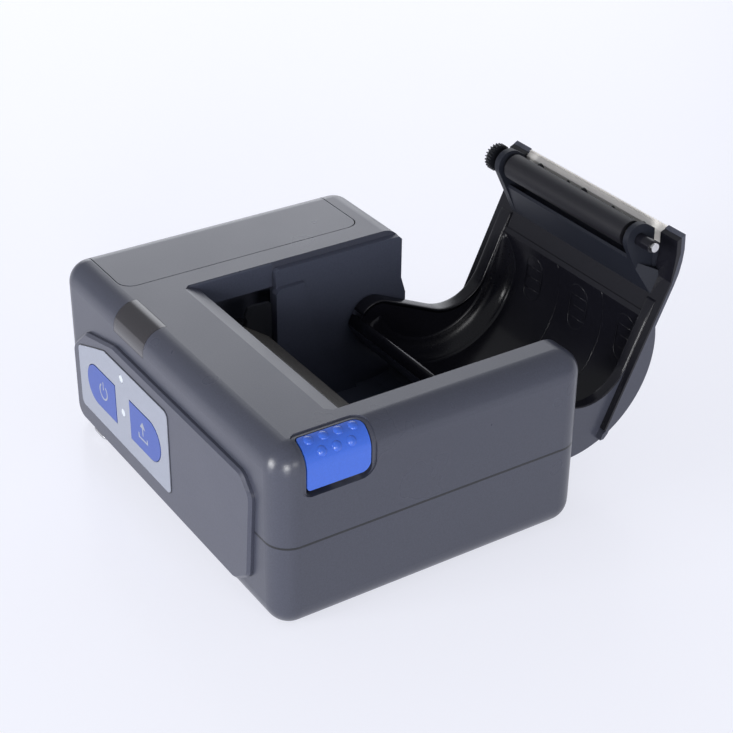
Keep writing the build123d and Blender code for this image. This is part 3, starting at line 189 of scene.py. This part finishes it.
def finish_of(name, colour, roughness, grain, relief, spread=0.06, metal=0.0, coat=0.0,
              specular=0.5, stretch=None, wander=0.025):
    """A moulded, ground or plated surface with fine grain and slow changes of tone."""
    material = bpy.data.materials.new(name)
    material.use_nodes = True
    tree = material.node_tree
    shader = tree.nodes["Principled BSDF"]
    shader.inputs["Metallic"].default_value = metal
    shader.inputs["Specular IOR Level"].default_value = specular
    shader.inputs["Coat Weight"].default_value = coat
    shader.inputs["Coat Roughness"].default_value = COAT_ROUGHNESS
    fine = noise(tree, grain, stretch)
    slow = noise(tree, SLOW_SCALE)
    dark = [channel * (1.0 - spread) for channel in colour]
    light = [channel * (1.0 + spread) for channel in colour]
    tone = blend_colours(tree, remap(tree, fine, 0.0, 1.0), dark, light)
    tree.links.new(tone, shader.inputs["Base Color"])
    rough = remap(tree, slow, roughness - wander, roughness + wander)
    tree.links.new(rough, shader.inputs["Roughness"])
    tree.links.new(bump(tree, fine, relief), shader.inputs["Normal"])
    return material


# Grain drawn out along x
ALONG_ROLLER = (0.15, 1.0, 1.0)
BRUSHED = (0.1, 1.0, 1.0)
BRUSHED_FINE = (0.08, 1.0, 1.0)

# For each slot a name, colour, roughness, grain in each metre and strength of relief
FINISHES = {
    "casing_grey": finish_of("casing", (0.053, 0.057, 0.080), 0.29, 2600.0, 0.14, spread=0.10),
    "inner_plastic": finish_of("inner", (0.058, 0.065, 0.096), 0.40, 2200.0, 0.10, spread=0.08,
                               specular=0.3),
    "panel_grey": finish_of("panel", (0.056, 0.060, 0.086), 0.32, 2600.0, 0.14, spread=0.10),
    "label_silver": finish_of("label", (0.285, 0.305, 0.370), 0.38, 1800.0, 0.04, spread=0.03),
    "key_blue": finish_of("key_film", (0.045, 0.085, 0.34), 0.38, 1800.0, 0.04, spread=0.04),
    "button_blue": finish_of("button", (0.034, 0.125, 0.62), 0.30, 2400.0, 0.04, spread=0.05,
                             coat=0.5),
    "smoked_window": finish_of("smoked", (0.022, 0.020, 0.024), 0.12, 900.0, 0.01, spread=0.05,
                               coat=0.6, wander=0.03),
    "glossy_black": finish_of("glossy_black", (0.008, 0.008, 0.012), 0.22, 900.0, 0.04,
                              spread=0.10, specular=0.32, wander=0.05),
    "black_plastic": finish_of("satin_black", (0.012, 0.013, 0.017), 0.36, 2000.0, 0.10,
                               spread=0.10),
    "platen_rubber": finish_of("rubber", (0.010, 0.010, 0.014), 0.52, 3000.0, 0.20, spread=0.15,
                               specular=0.3, stretch=ALONG_ROLLER),
    "steel_plate": finish_of("plate", (0.42, 0.42, 0.43), 0.32, 700.0, 0.04, metal=1.0,
                             stretch=BRUSHED),
    "bright_steel": finish_of("bright_metal", (0.62, 0.62, 0.63), 0.22, 900.0, 0.03, metal=1.0,
                              stretch=BRUSHED),
    "tear_steel": finish_of("tear_metal", (0.93, 0.90, 0.86), 0.40, 900.0, 0.05,
                            stretch=BRUSHED_FINE),
    "head_ceramic": finish_of("ceramic", (0.55, 0.55, 0.50), 0.25, 600.0, 0.02),
    "aluminium": finish_of("plate", (0.42, 0.42, 0.43), 0.32, 700.0, 0.04, metal=1.0,
                           stretch=BRUSHED),
    "board_green": finish_of("board", (0.03, 0.12, 0.06), 0.35, 700.0, 0.05),
    "cell_wrap": finish_of("cell_wrap", (0.02, 0.05, 0.10), 0.35, 400.0, 0.05),
    "film_amber": finish_of("film", (0.35, 0.16, 0.03), 0.25, 500.0, 0.02),
    "contact_gold": finish_of("contact", (0.60, 0.45, 0.20), 0.28, 900.0, 0.03, metal=1.0),
    "lens_clear": finish_of("lens", (0.62, 0.67, 0.74), 0.20, 900.0, 0.02, coat=0.4),
}


def paint(piece, material):
    """Gives the whole piece one material."""
    if not piece.material_slots:
        piece.data.materials.append(material)
    for slot in piece.material_slots:
        slot.material = material


for subpart in frame["record"]["subparts"]:
    paint(frame["nodes"][subpart["node"]], FINISHES[subpart["material_slot"]])
# The roller's bracket is darker than the other inner plastic: painted shade, standing in for the
# shade on its web below the roller
paint(frame["nodes"]["platen_bracket"],
      finish_of("bracket", (0.014, 0.016, 0.024), 0.45, 2200.0, 0.08, spread=0.08,
                specular=0.2))


def opened(x, y, z):
    """A closed-cover place in millimetres, where it stands at rest, in metres."""
    angle = math.radians(-OPEN_DEG)
    dy, dz = y - HINGE_Y, z - HINGE_Z
    turned_y = HINGE_Y + dy * math.cos(angle) - dz * math.sin(angle)
    turned_z = HINGE_Z + dy * math.sin(angle) + dz * math.cos(angle)
    return Vector((x, turned_y, turned_z)) * MM


def still(x, y, z):
    """A place on the casing in millimetres, in metres."""
    return Vector((x, y, z)) * MM


def piece_from(name, mesh, body, slot, smooth=True):
    """Links a finished mesh, and says what it rides on and what it is made of."""
    obj = bpy.data.objects.new(name, mesh)
    bpy.context.scene.collection.objects.link(obj)
    for face in mesh.polygons:
        face.use_smooth = smooth
    mesh.materials.append(FINISHES[slot])
    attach(obj, body)
    return obj


def loft(name, rings, place, body, slot, closed_ends=True, smooth=True):
    """A skin over rings of points, each ring closed, with flat ends."""
    grid = bmesh.new()
    rows = [[grid.verts.new(place(*point)) for point in ring] for ring in rings]
    count = len(rings[0])
    for low, high in zip(rows, rows[1:]):
        for index in range(count):
            after = (index + 1) % count
            grid.faces.new((low[index], low[after], high[after], high[index]))
    if closed_ends:
        grid.faces.new(list(reversed(rows[0])))
        grid.faces.new(rows[-1])
    bmesh.ops.recalc_face_normals(grid, faces=grid.faces)
    mesh = bpy.data.meshes.new(name)
    grid.to_mesh(mesh)
    grid.free()
    return piece_from(name, mesh, body, slot, smooth)


def nose_point(along, down):
    """A point on the cover's front edge, along it from the tip and down from its skin."""
    across, up = math.cos(NOSE_SLOPE), math.sin(NOSE_SLOPE)
    return TIP_Y + along * across + down * up, TIP_Z + along * up - down * across


STUD_X = (-11.3, 7.6, 32.0)
STUD_R = 1.35
STUD_RISE = 1.0
PIN_X = (0.7, 19.6)
PIN_R = 0.85
PIN_RISE = 0.75
STUD_SIDES = 24

# From the cover's tip along its front edge, and down from its skin to the bar's inner face
STUD_ALONG = 2.9
BAR_UNDER = 1.72

# Shares of a dome's radius and height, from its foot to its top
DOME = ((1.0, 0.0), (0.98, 0.32), (0.9, 0.6), (0.74, 0.82), (0.5, 0.95), (0.2, 1.0))


def stud(name, x, radius, height):
    """A heat-formed dome that holds the tear bar, on the bar's inner face."""
    rings = []
    for share, rise in DOME:
        ring = []
        for side in range(STUD_SIDES):
            angle = 2 * math.pi * side / STUD_SIDES
            y, z = nose_point(STUD_ALONG + radius * share * math.sin(angle),
                              BAR_UNDER + height * rise)
            ring.append((x + radius * share * math.cos(angle), y, z))
        rings.append(ring)
    return loft(name, rings, opened, "cover", "glossy_black")


for index, x in enumerate(STUD_X):
    stud(f"tear_bar_stud_{index}", x, STUD_R, STUD_RISE)
for index, x in enumerate(PIN_X):
    stud(f"tear_bar_pin_{index}", x, PIN_R, PIN_RISE)


def on_drum(x, degrees, inwards=0.0):
    """A point on the trough's curved wall, lifted off it towards the paper roll."""
    angle = math.radians(degrees)
    radius = LINER_R - inwards
    return x, DRUM_Y + radius * math.cos(angle), DRUM_Z + radius * math.sin(angle)


def spread_angles(first, last, count):
    """Angles from the first to the last in a number of equal steps."""
    return [first + (last - first) * step / count for step in range(count + 1)]


BEAD_SIDES = 8
BEAD_SPREAD = 1.3
BEAD_R = 0.13


def bead(name, marks, radius, joined=False):
    """A fine moulded line on the curved wall, through places given as x and degrees."""
    rings = []
    count = len(marks)
    for index, (x, degrees) in enumerate(marks):
        before = marks[index - 1] if joined or index else marks[0]
        after = marks[(index + 1) % count] if joined or index < count - 1 else marks[-1]
        along = Vector(on_drum(*after)) - Vector(on_drum(*before))
        along.normalize()
        angle = math.radians(degrees)
        outward = Vector((0.0, -math.cos(angle), -math.sin(angle)))
        across = along.cross(outward)
        middle = Vector(on_drum(x, degrees))
        ring = []
        for side in range(BEAD_SIDES):
            turn = 2 * math.pi * side / BEAD_SIDES
            ring.append(middle + outward * radius * math.cos(turn)
                        + across * radius * BEAD_SPREAD * math.sin(turn))
        rings.append(ring)
    if joined:
        rings.append(rings[0])
    return loft(name, rings, opened, "cover", "glossy_black", closed_ends=not joined)


OVAL_X = (-4.5, 15.3, 34.9)
OVAL_HALF_W = 3.4
OVAL_HALF_DEG = 15.2
OVAL_MIDDLE_DEG = 109.5
OVAL_END_STEPS = 12
RIB_DEGREES = (101.3, 108.8, 116.0)
RIB_HALF_W = 3.0
RIB_R = 0.15
LINE_X = (6.5, 25.3)
LINE_FIRST_DEG = 131
LINE_LAST_DEG = -38
LINE_STEPS = 40


def oval(x):
    """A long rounded outline on the curved wall."""
    marks = []
    end_deg = math.degrees(OVAL_HALF_W / LINER_R)
    straight = OVAL_HALF_DEG - end_deg
    for start, middle in ((0, straight), (180, -straight)):
        for turn in spread_angles(start, start + 180, OVAL_END_STEPS):
            marks.append((x + OVAL_HALF_W * math.cos(math.radians(turn)),
                          OVAL_MIDDLE_DEG + middle + end_deg * math.sin(math.radians(turn))))
    return marks


for index, x in enumerate(OVAL_X):
    bead(f"trough_oval_{index}", oval(x), BEAD_R, joined=True)
    for rib, degrees in enumerate(RIB_DEGREES):
        marks = [(x - RIB_HALF_W, degrees), (x, degrees), (x + RIB_HALF_W, degrees)]
        bead(f"trough_rib_{index}_{rib}", marks, RIB_R)
for index, x in enumerate(LINE_X):
    turns = spread_angles(LINE_FIRST_DEG, LINE_LAST_DEG, LINE_STEPS)
    bead(f"trough_line_{index}", [(x, degrees) for degrees in turns], BEAD_R)

FILLET_R = 5.7
FILLET_FIRST_DEG = 130
FILLET_LAST_DEG = -41
FILLET_STEPS = 44
FILLET_CURVE_STEPS = 8
FILLET_SUNK = 0.3


def corner_fillet(name, wall_x, inwards):
    """The rounded inner corner between the trough's curved wall and its side."""
    rings = []
    for degrees in spread_angles(FILLET_FIRST_DEG, FILLET_LAST_DEG, FILLET_STEPS):
        angle = math.radians(degrees)
        radius = FILLET_R
        # Towards the nose the round ends at the cover's underside
        if degrees > 90:
            radius = min(FILLET_R, LINER_R - (UNDER_Z - DRUM_Z) / math.sin(angle))
        ring = []
        for turn in spread_angles(0, 90, FILLET_CURVE_STEPS):
            across = radius - radius * math.cos(math.radians(turn))
            rise = radius - radius * math.sin(math.radians(turn))
            ring.append(on_drum(wall_x + inwards * across, degrees, rise))
        ring.append(on_drum(wall_x + inwards * radius, degrees, -FILLET_SUNK))
        ring.append(on_drum(wall_x - inwards * FILLET_SUNK, degrees, -FILLET_SUNK))
        ring.append(on_drum(wall_x - inwards * FILLET_SUNK, degrees, radius))
        rings.append(ring)
    return loft(name, rings, opened, "cover", "glossy_black")


corner_fillet("trough_corner_left", TROUGH_LEFT, 1)
corner_fillet("trough_corner_right", TROUGH_RIGHT, -1)


RIM_FRONT_Y = (0.2, 1.0, 8.0, 14.0)
RIM_RISE = 0.45
RIM_SUNK = 0.6
RIM_SQUARENESS = 0.5
RIM_MARGIN = 0.05
RIM_START_SHARE = 8
RIM_TURN_STEPS = 16
RIM_FOOT_END_DEG = 262
RIM_FOOT_STEPS = 8
RIM_STEPS = 12


def rim_path():
    """The free edge of the trough's sides, and which way is off the edge."""
    path = [(y, UNDER_Z, 0.0, -1.0) for y in RIM_FRONT_Y]
    turn_r = RIM_BACK_Y - RIM_TURN_Y
    for degrees in spread_angles(90, 0, RIM_TURN_STEPS):
        angle = math.radians(degrees)
        path.append((RIM_TURN_Y + turn_r * math.cos(angle),
                     UNDER_Z - turn_r + turn_r * math.sin(angle),
                     -math.cos(angle), -math.sin(angle)))
    foot_y = RIM_BACK_Y + RIM_FOOT_R
    for degrees in spread_angles(180, RIM_FOOT_END_DEG, RIM_FOOT_STEPS):
        angle = math.radians(degrees)
        path.append((foot_y + RIM_FOOT_R * math.cos(angle),
                     DRUM_END_Z + RIM_FOOT_R + RIM_FOOT_R * math.sin(angle),
                     math.cos(angle), math.sin(angle)))
    return path


def side_rim(name, x0, x1):
    """A rounded black edging on a side of the trough."""
    rings = []
    half = (x1 - x0) / 2
    for index, (y, z, off_y, off_z) in enumerate(rim_path()):
        height = RIM_RISE if index else RIM_RISE / RIM_START_SHARE
        ring = []
        for turn in spread_angles(0, 180, RIM_STEPS):
            wide = math.copysign(abs(math.cos(math.radians(turn))) ** RIM_SQUARENESS,
                                 math.cos(math.radians(turn)))
            rise = height * math.sin(math.radians(turn)) ** RIM_SQUARENESS
            ring.append(((x0 + x1) / 2 + half * wide, y + off_y * rise, z + off_z * rise))
        for x in (x0, x1):
            ring.append((x, y - off_y * RIM_SUNK, z - off_z * RIM_SUNK))
        rings.append(ring)
    return loft(name, rings, opened, "cover", "glossy_black")


side_rim("trough_rim_left", DRUM_X0 + RIM_MARGIN, TROUGH_LEFT)
side_rim("trough_rim_right", TROUGH_RIGHT, DRUM_X1 - RIM_MARGIN)

LIP_X = (DRUM_X0 + RIM_MARGIN, -11.0, 0.0, 11.0, 22.0, 33.0, DRUM_X1 - RIM_MARGIN)
LIP_OVER = 0.05
LIP_RISE = 0.35
LIP_SUNK = 0.5
LIP_FRONT = 0.1
LIP_REAR = 0.02
LIP_STEPS = 10


def trough_lip():
    """The rounded black edge along the lower end of the curved wall."""
    rings = []
    middle = (DRUM_END_Y0 + DRUM_END_Y1) / 2
    half = (DRUM_END_Y1 - DRUM_END_Y0) / 2
    for x in LIP_X:
        ring = []
        for turn in spread_angles(0, 180, LIP_STEPS):
            y = middle + half * math.cos(math.radians(turn))
            rise = LIP_RISE * math.sin(math.radians(turn))
            ring.append((x, y, DRUM_END_Z + LIP_OVER - rise))
        ring.append((x, DRUM_END_Y0 - LIP_FRONT, DRUM_END_Z + LIP_SUNK))
        ring.append((x, DRUM_END_Y1 + LIP_REAR, DRUM_END_Z + LIP_SUNK))
        rings.append(ring)
    return loft("trough_lip", rings, opened, "cover", "glossy_black")


trough_lip()

BUMP_SIDES = 20
BUMP_DOME_R = 1.28
BUMP_DOME_H = 0.62
BUMP_DOME_SUNK = 0.16
BUMP_DOME_TURNS = (0, 15, 30, 45, 60, 75, 86)
BUMP_ROWS = ((70.0, 4), (36.0, 3))


def button_bump(name, y, degrees):
    """A round grip bump on the release button."""
    angle = math.radians(degrees)
    outward = Vector((math.cos(angle), 0.0, math.sin(angle)))
    around = Vector((-math.sin(angle), 0.0, math.cos(angle)))
    middle = Vector((BUTTON_ARC_X, y, BUTTON_ARC_Z)) + outward * BUTTON_ARC_R
    rings = []
    for turn in BUMP_DOME_TURNS:
        share = math.cos(math.radians(turn))
        rise = BUMP_DOME_H * math.sin(math.radians(turn)) - BUMP_DOME_SUNK
        ring = []
        for side in range(BUMP_SIDES):
            spin = 2 * math.pi * side / BUMP_SIDES
            ring.append(middle + outward * rise
                        + around * BUMP_DOME_R * share * math.cos(spin)
                        + Vector((0, 1, 0)) * BUMP_DOME_R * share * math.sin(spin))
        rings.append(ring)
    return loft(name, rings, still, "release_button", "button_blue")


for row, (degrees, count) in enumerate(BUMP_ROWS):
    for index in range(count):
        place_y = BUTTON_MIDDLE_Y + (index - (count - 1) / 2) * BUMP_PITCH
        button_bump(f"button_bump_{row}_{index}", place_y, degrees)


PRINT_PROUD = 0.012
PRINT_SUNK = 0.05
MARK_SHIFT = 1.2
RING_STEPS = 28


def printed(name, outline, x, body):
    """A flat printed mark on a key, with its middle at x and half-way up the key."""
    rings = []
    for depth in (PRINT_SUNK, -PRINT_PROUD):
        rings.append([(x + across, KEY_FACE_Y + depth, KEY_MIDDLE_Z + up)
                      for across, up in outline])
    return loft(name, rings, still, body, "label_silver", smooth=False)


def ring_mark(inner, outer, first, last):
    """An open ring, from one angle round to another."""
    turns = [math.radians(turn) for turn in spread_angles(first, last, RING_STEPS)]
    outline = [(outer * math.cos(turn), outer * math.sin(turn)) for turn in turns]
    outline += [(inner * math.cos(turn), inner * math.sin(turn)) for turn in reversed(turns)]
    return outline


# Outlines of the marks, across and up from a middle
POWER_RING = ring_mark(1.95, 2.45, 125, 415)
POWER_BAR = ((-0.25, 0.5), (0.25, 0.5), (0.25, 3.0), (-0.25, 3.0))
FEED_ARROW = ((-0.25, -1.2), (0.25, -1.2), (0.25, 1.1), (1.5, 1.1), (0.0, 3.0), (-1.5, 1.1),
              (-0.25, 1.1))
FEED_SLOT = ((-2.6, -2.6), (2.6, -2.6), (2.6, -1.1), (2.1, -1.1), (2.1, -2.1), (-2.1, -2.1),
             (-2.1, -1.1), (-2.6, -1.1))

printed("power_mark_ring", POWER_RING, POWER_X + MARK_SHIFT, "key_power")
printed("power_mark_bar", POWER_BAR, POWER_X + MARK_SHIFT, "key_power")
printed("feed_mark_arrow", FEED_ARROW, FEED_X - MARK_SHIFT, "key_feed")
printed("feed_mark_slot", FEED_SLOT, FEED_X - MARK_SHIFT, "key_feed")


ROUND_STEPS = 6


def rounded(corners, radius):
    """The outline with each corner rounded."""
    outline = []
    count = len(corners)
    for index in range(count):
        corner = Vector(corners[index])
        back = (Vector(corners[index - 1]) - corner).normalized()
        ahead = (Vector(corners[(index + 1) % count]) - corner).normalized()
        half = math.acos(max(-1.0, min(1.0, back.dot(ahead)))) / 2
        reach = radius / math.tan(half)
        middle = corner + (back + ahead).normalized() * radius / math.sin(half)
        start = corner + back * reach - middle
        end = corner + ahead * reach - middle
        for step in range(ROUND_STEPS + 1):
            share = step / ROUND_STEPS
            spoke = start * (1 - share) + end * share
            outline.append(middle + spoke.normalized() * radius)
    return outline


LABEL_CORNERS = ((LABEL_X0, LABEL_LOW), (LABEL_X1, LABEL_LOW), (LABEL_X1, LABEL_HIGH),
                 (LABEL_X0 + 16.6, LABEL_HIGH), (LABEL_X0 + 10.4, LABEL_HIGH - 2.2),
                 (LABEL_X0, LABEL_HIGH - 6.1))
LABEL_CORNER_R = 1.8
LINE_INNER = 0.1
LINE_OUTER = 0.32
LINE_PROUD = 0.06
LINE_SUNK = 0.05


def label_line():
    """The dark gap that runs round the label, as a thin line on the panel."""
    outline = rounded(LABEL_CORNERS, LABEL_CORNER_R)
    count = len(outline)
    inner = []
    outer = []
    for index in range(count):
        along = (outline[(index + 1) % count] - outline[index - 1]).normalized()
        off = Vector((along.y, -along.x))
        inner.append(outline[index] - off * LINE_INNER)
        outer.append(outline[index] + off * LINE_OUTER)
    sunk = PANEL_Y + LINE_SUNK
    proud = PANEL_Y - LINE_PROUD
    rings = []
    for points, y in ((inner, sunk), (inner, proud), (outer, proud), (outer, sunk)):
        rings.append([(point.x, y, point.y) for point in points])
    rings.append(rings[0])
    return loft("label_line", rings, still, "body", "black_plastic", closed_ends=False,
                smooth=False)


label_line()

EYE_WIRE_R = 0.78
EYE_SIDES = 12
EYE_CORNER = 1.2
EYE_CORNER_Z = 2.5
EYE_FRONT_Z = 2.2
EYE_ROOT_Y = EYE_Y + 4.6
EYE_ROOT_Z = 3.6
EYE_BEND = 0.9
EYE_BEND_STEPS = 4


def strap_loop():
    """The wire loop for a wrist strap, with its bends rounded."""
    corners = [Vector(point) for point in (
        (EYE_X0, EYE_ROOT_Y, EYE_ROOT_Z), (EYE_X0, EYE_Y + EYE_CORNER, EYE_CORNER_Z),
        (EYE_X0 + EYE_CORNER, EYE_Y, EYE_FRONT_Z), (EYE_X1 - EYE_CORNER, EYE_Y, EYE_FRONT_Z),
        (EYE_X1, EYE_Y + EYE_CORNER, EYE_CORNER_Z), (EYE_X1, EYE_ROOT_Y, EYE_ROOT_Z))]
    path = [corners[0]]
    for before, corner, after in zip(corners, corners[1:], corners[2:]):
        start = corner.lerp(before, min(0.5, EYE_BEND / (before - corner).length))
        end = corner.lerp(after, min(0.5, EYE_BEND / (after - corner).length))
        for step in range(EYE_BEND_STEPS + 1):
            share = step / EYE_BEND_STEPS
            path.append(start.lerp(corner, share).lerp(corner.lerp(end, share), share))
    path.append(corners[-1])
    rings = []
    for index, middle in enumerate(path):
        before = path[max(index - 1, 0)]
        after = path[min(index + 1, len(path) - 1)]
        along = (after - before).normalized()
        side = along.cross(Vector((0, 0, 1))).normalized()
        up = side.cross(along)
        rings.append([middle + side * EYE_WIRE_R * math.cos(2 * math.pi * turn / EYE_SIDES)
                      + up * EYE_WIRE_R * math.sin(2 * math.pi * turn / EYE_SIDES)
                      for turn in range(EYE_SIDES)])
    loop = loft("strap_loop", rings, still, "body", "bright_steel")
    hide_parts("strap_eye")


strap_loop()


GUIDE_X0 = -19.6
GUIDE_X1 = 39.5
GUIDE_STEPS = 12

# The strip's section from its top edge to its foot, as y and z
GUIDE_SECTION = ((-9.7, 36.05), (-9.7, 36.43), (-9.4, 36.47), (-2.3, 31.47), (-2.0, 31.22),
                 (-2.0, 30.82))


def guide_strip():
    """The grained surface that the paper slides up to the print head."""
    rings = []
    for step in range(GUIDE_STEPS + 1):
        x = GUIDE_X0 + (GUIDE_X1 - GUIDE_X0) * step / GUIDE_STEPS
        rings.append([(x, y, z) for y, z in GUIDE_SECTION])
    strip = loft("guide_strip", rings, still, "body", "casing_grey", smooth=False)
    # Lighter and coarser than the casing
    strip.data.materials[0] = finish_of("guide_grain", (0.085, 0.080, 0.074), 0.5, 1500.0, 0.2,
                                        spread=0.3, specular=0.35)


guide_strip()

# A thin dark sheet on each side wall of the bay: painted shade for the shaded walls
BAY_LEFT = -25.0
BAY_RIGHT = 46.1
SHADE_SHEET_FRONT = -22.0
SHADE_SHEET_LOW = 42.7
SHADE_SHEET_TOP = 49.7
SHADE_SHEET_LEAN = 0.3
SHADE_SHEET_T = 0.12
SHADE_SHEET_LEFT_REAR = 2.4
SHADE_SHEET_RIGHT_REAR = -1.1


def bay_shade_sheet(name, wall_x, inwards, rear):
    """A dark sheet on a side of the bay, above the mechanism: painted shade, standing in for the
    shade on the bay's steep wall.
    """
    rings = []
    for y in (SHADE_SHEET_FRONT, (SHADE_SHEET_FRONT + rear) / 2, rear):
        rings.append([(wall_x, y, SHADE_SHEET_LOW), (wall_x + inwards * SHADE_SHEET_T, y, SHADE_SHEET_LOW),
                      (wall_x + inwards * SHADE_SHEET_T, y, SHADE_SHEET_TOP - SHADE_SHEET_LEAN), (wall_x, y, SHADE_SHEET_TOP)])
    return loft(name, rings, still, "body", "inner_plastic", smooth=False)


# Painted shade on the bay's two side walls
bay_shade_sheet("bay_shade_sheet_left", BAY_LEFT, 1, SHADE_SHEET_LEFT_REAR)
bay_shade_sheet("bay_shade_sheet_right", BAY_RIGHT, -1, SHADE_SHEET_RIGHT_REAR)

HALF_W = 57.2
HALF_L = 44.1
PLAN_R = 6.2
SEAM_LOW = 23.72
SEAM_HIGH = 24.32
SEAM_PROUD = 0.012
SEAM_SUNK = 0.3
SEAM_PAST_BAY = 1.5
SEAM_CORNER_STEPS = 12


def seam_line():
    """The dark joint between the casings, from the bay's left round to its right."""
    route = [Vector((BAY_LEFT - SEAM_PAST_BAY, HALF_L))]
    for turn_x, turn_y, first in ((-HALF_W + PLAN_R, HALF_L - PLAN_R, 90),
                                  (-HALF_W + PLAN_R, -HALF_L + PLAN_R, 180),
                                  (HALF_W - PLAN_R, -HALF_L + PLAN_R, 270),
                                  (HALF_W - PLAN_R, HALF_L - PLAN_R, 360)):
        for turn in spread_angles(first, first + 90, SEAM_CORNER_STEPS):
            angle = math.radians(turn)
            route.append(Vector((turn_x + PLAN_R * math.cos(angle),
                                 turn_y + PLAN_R * math.sin(angle))))
    route.append(Vector((BAY_RIGHT + SEAM_PAST_BAY, HALF_L)))
    rings = []
    for index, place in enumerate(route):
        before = route[max(index - 1, 0)]
        after = route[min(index + 1, len(route) - 1)]
        along = (after - before).normalized()
        off = Vector((along.y, -along.x))
        proud = place + off * SEAM_PROUD
        sunk = place - off * SEAM_SUNK
        rings.append([(sunk.x, sunk.y, SEAM_LOW), (proud.x, proud.y, SEAM_LOW),
                      (proud.x, proud.y, SEAM_HIGH), (sunk.x, sunk.y, SEAM_HIGH)])
    return loft("seam_line", rings, still, "body", "black_plastic", smooth=False)


seam_line()


# The floor's reach in metres, and how the floor and the world shine
FLOOR_REACH = 6.0
BACKGROUND = (0.86, 0.87, 0.945)
FLOOR_SHARE = 0.6
FLOOR_GLOW = 1.25
FLOOR_ROUGHNESS = 0.22
FLOOR_SPECULAR = 0.35
ROOM = (0.92, 0.94, 1.0)
WORLD_LOW = 0.40
WORLD_WINDOW = 2.6
WINDOW_WAY = (-0.85, 0.44, 0.28)
WINDOW_EDGE = 0.895
WINDOW_FULL = 0.985


def either(tree, path, first, second):
    """One where a ray is of the first kind or the second, else nought."""
    node = tree.nodes.new("ShaderNodeMath")
    node.operation = "MAXIMUM"
    tree.links.new(path.outputs[first], node.inputs[0])
    tree.links.new(path.outputs[second], node.inputs[1])
    return node.outputs[0]


def floor():
    """A pale table top that shows soft shadows."""
    mesh = bpy.data.meshes.new("floor")
    mesh.from_pydata([(-FLOOR_REACH, -FLOOR_REACH, 0.0), (FLOOR_REACH, -FLOOR_REACH, 0.0),
                      (FLOOR_REACH, FLOOR_REACH, 0.0), (-FLOOR_REACH, FLOOR_REACH, 0.0)],
                     [], [(0, 1, 2, 3)])
    obj = bpy.data.objects.new("floor", mesh)
    bpy.context.scene.collection.objects.link(obj)
    material = bpy.data.materials.new("floor")
    material.use_nodes = True
    tree = material.node_tree
    shader = tree.nodes["Principled BSDF"]
    shader.inputs["Base Color"].default_value = (*BACKGROUND, 1.0)
    shader.inputs["Roughness"].default_value = FLOOR_ROUGHNESS
    shader.inputs["Specular IOR Level"].default_value = FLOOR_SPECULAR
    glow = tree.nodes.new("ShaderNodeEmission")
    glow.inputs["Color"].default_value = (*BACKGROUND, 1.0)
    glow.inputs["Strength"].default_value = FLOOR_GLOW
    path = tree.nodes.new("ShaderNodeLightPath")
    share = tree.nodes.new("ShaderNodeMath")
    share.operation = "MULTIPLY"
    share.inputs[1].default_value = FLOOR_SHARE
    tree.links.new(either(tree, path, "Is Camera Ray", "Is Glossy Ray"), share.inputs[0])
    mix = tree.nodes.new("ShaderNodeMixShader")
    tree.links.new(share.outputs[0], mix.inputs["Fac"])
    tree.links.new(shader.outputs["BSDF"], mix.inputs[1])
    tree.links.new(glow.outputs["Emission"], mix.inputs[2])
    tree.links.new(mix.outputs["Shader"], tree.nodes["Material Output"].inputs["Surface"])
    mesh.materials.append(material)


def surroundings():
    """A dim room with a broad window behind and to the left, and a pale backdrop."""
    world = bpy.data.worlds.new("studio")
    bpy.context.scene.world = world
    world.use_nodes = True
    tree = world.node_tree
    place = tree.nodes.new("ShaderNodeTexCoord")
    towards = tree.nodes.new("ShaderNodeVectorMath")
    towards.operation = "DOT_PRODUCT"
    towards.inputs[1].default_value = Vector(WINDOW_WAY).normalized()
    tree.links.new(place.outputs["Generated"], towards.inputs[0])
    window = tree.nodes.new("ShaderNodeMapRange")
    window.interpolation_type = "SMOOTHSTEP"
    window.inputs["From Min"].default_value = WINDOW_EDGE
    window.inputs["From Max"].default_value = WINDOW_FULL
    window.inputs["To Min"].default_value = WORLD_LOW
    window.inputs["To Max"].default_value = WORLD_WINDOW
    tree.links.new(towards.outputs["Value"], window.inputs["Value"])
    light = tree.nodes["Background"]
    light.inputs["Color"].default_value = (*ROOM, 1.0)
    tree.links.new(window.outputs["Result"], light.inputs["Strength"])
    shown = tree.nodes.new("ShaderNodeBackground")
    shown.inputs["Color"].default_value = (*BACKGROUND, 1.0)
    path = tree.nodes.new("ShaderNodeLightPath")
    mix = tree.nodes.new("ShaderNodeMixShader")
    tree.links.new(path.outputs["Is Camera Ray"], mix.inputs["Fac"])
    tree.links.new(light.outputs["Background"], mix.inputs[1])
    tree.links.new(shown.outputs["Background"], mix.inputs[2])
    tree.links.new(mix.outputs["Shader"], tree.nodes["World Output"].inputs["Surface"])


LAMP_AIM = (0.0, 0.0, 0.03)

# Name, place in metres, side in metres and power in watts
LAMPS = (
    ("front_box", (-0.14, -1.28, 0.24), 0.50, 12.5),
    ("right_box", (1.11, -0.65, 0.21), 0.40, 9.0),
    ("side_box", (1.15, 0.10, 0.37), 0.35, 2.0),
)


def lamp(name, place, size, power):
    """A square soft box that faces the printer."""
    data = bpy.data.lights.new(name, "AREA")
    data.size = size
    data.energy = power
    obj = bpy.data.objects.new(name, data)
    obj.location = place
    aim = Vector(LAMP_AIM) - Vector(place)
    obj.rotation_euler = aim.to_track_quat("-Z", "Y").to_euler()
    bpy.context.scene.collection.objects.link(obj)


floor()
surroundings()
for light in LAMPS:
    lamp(*light)
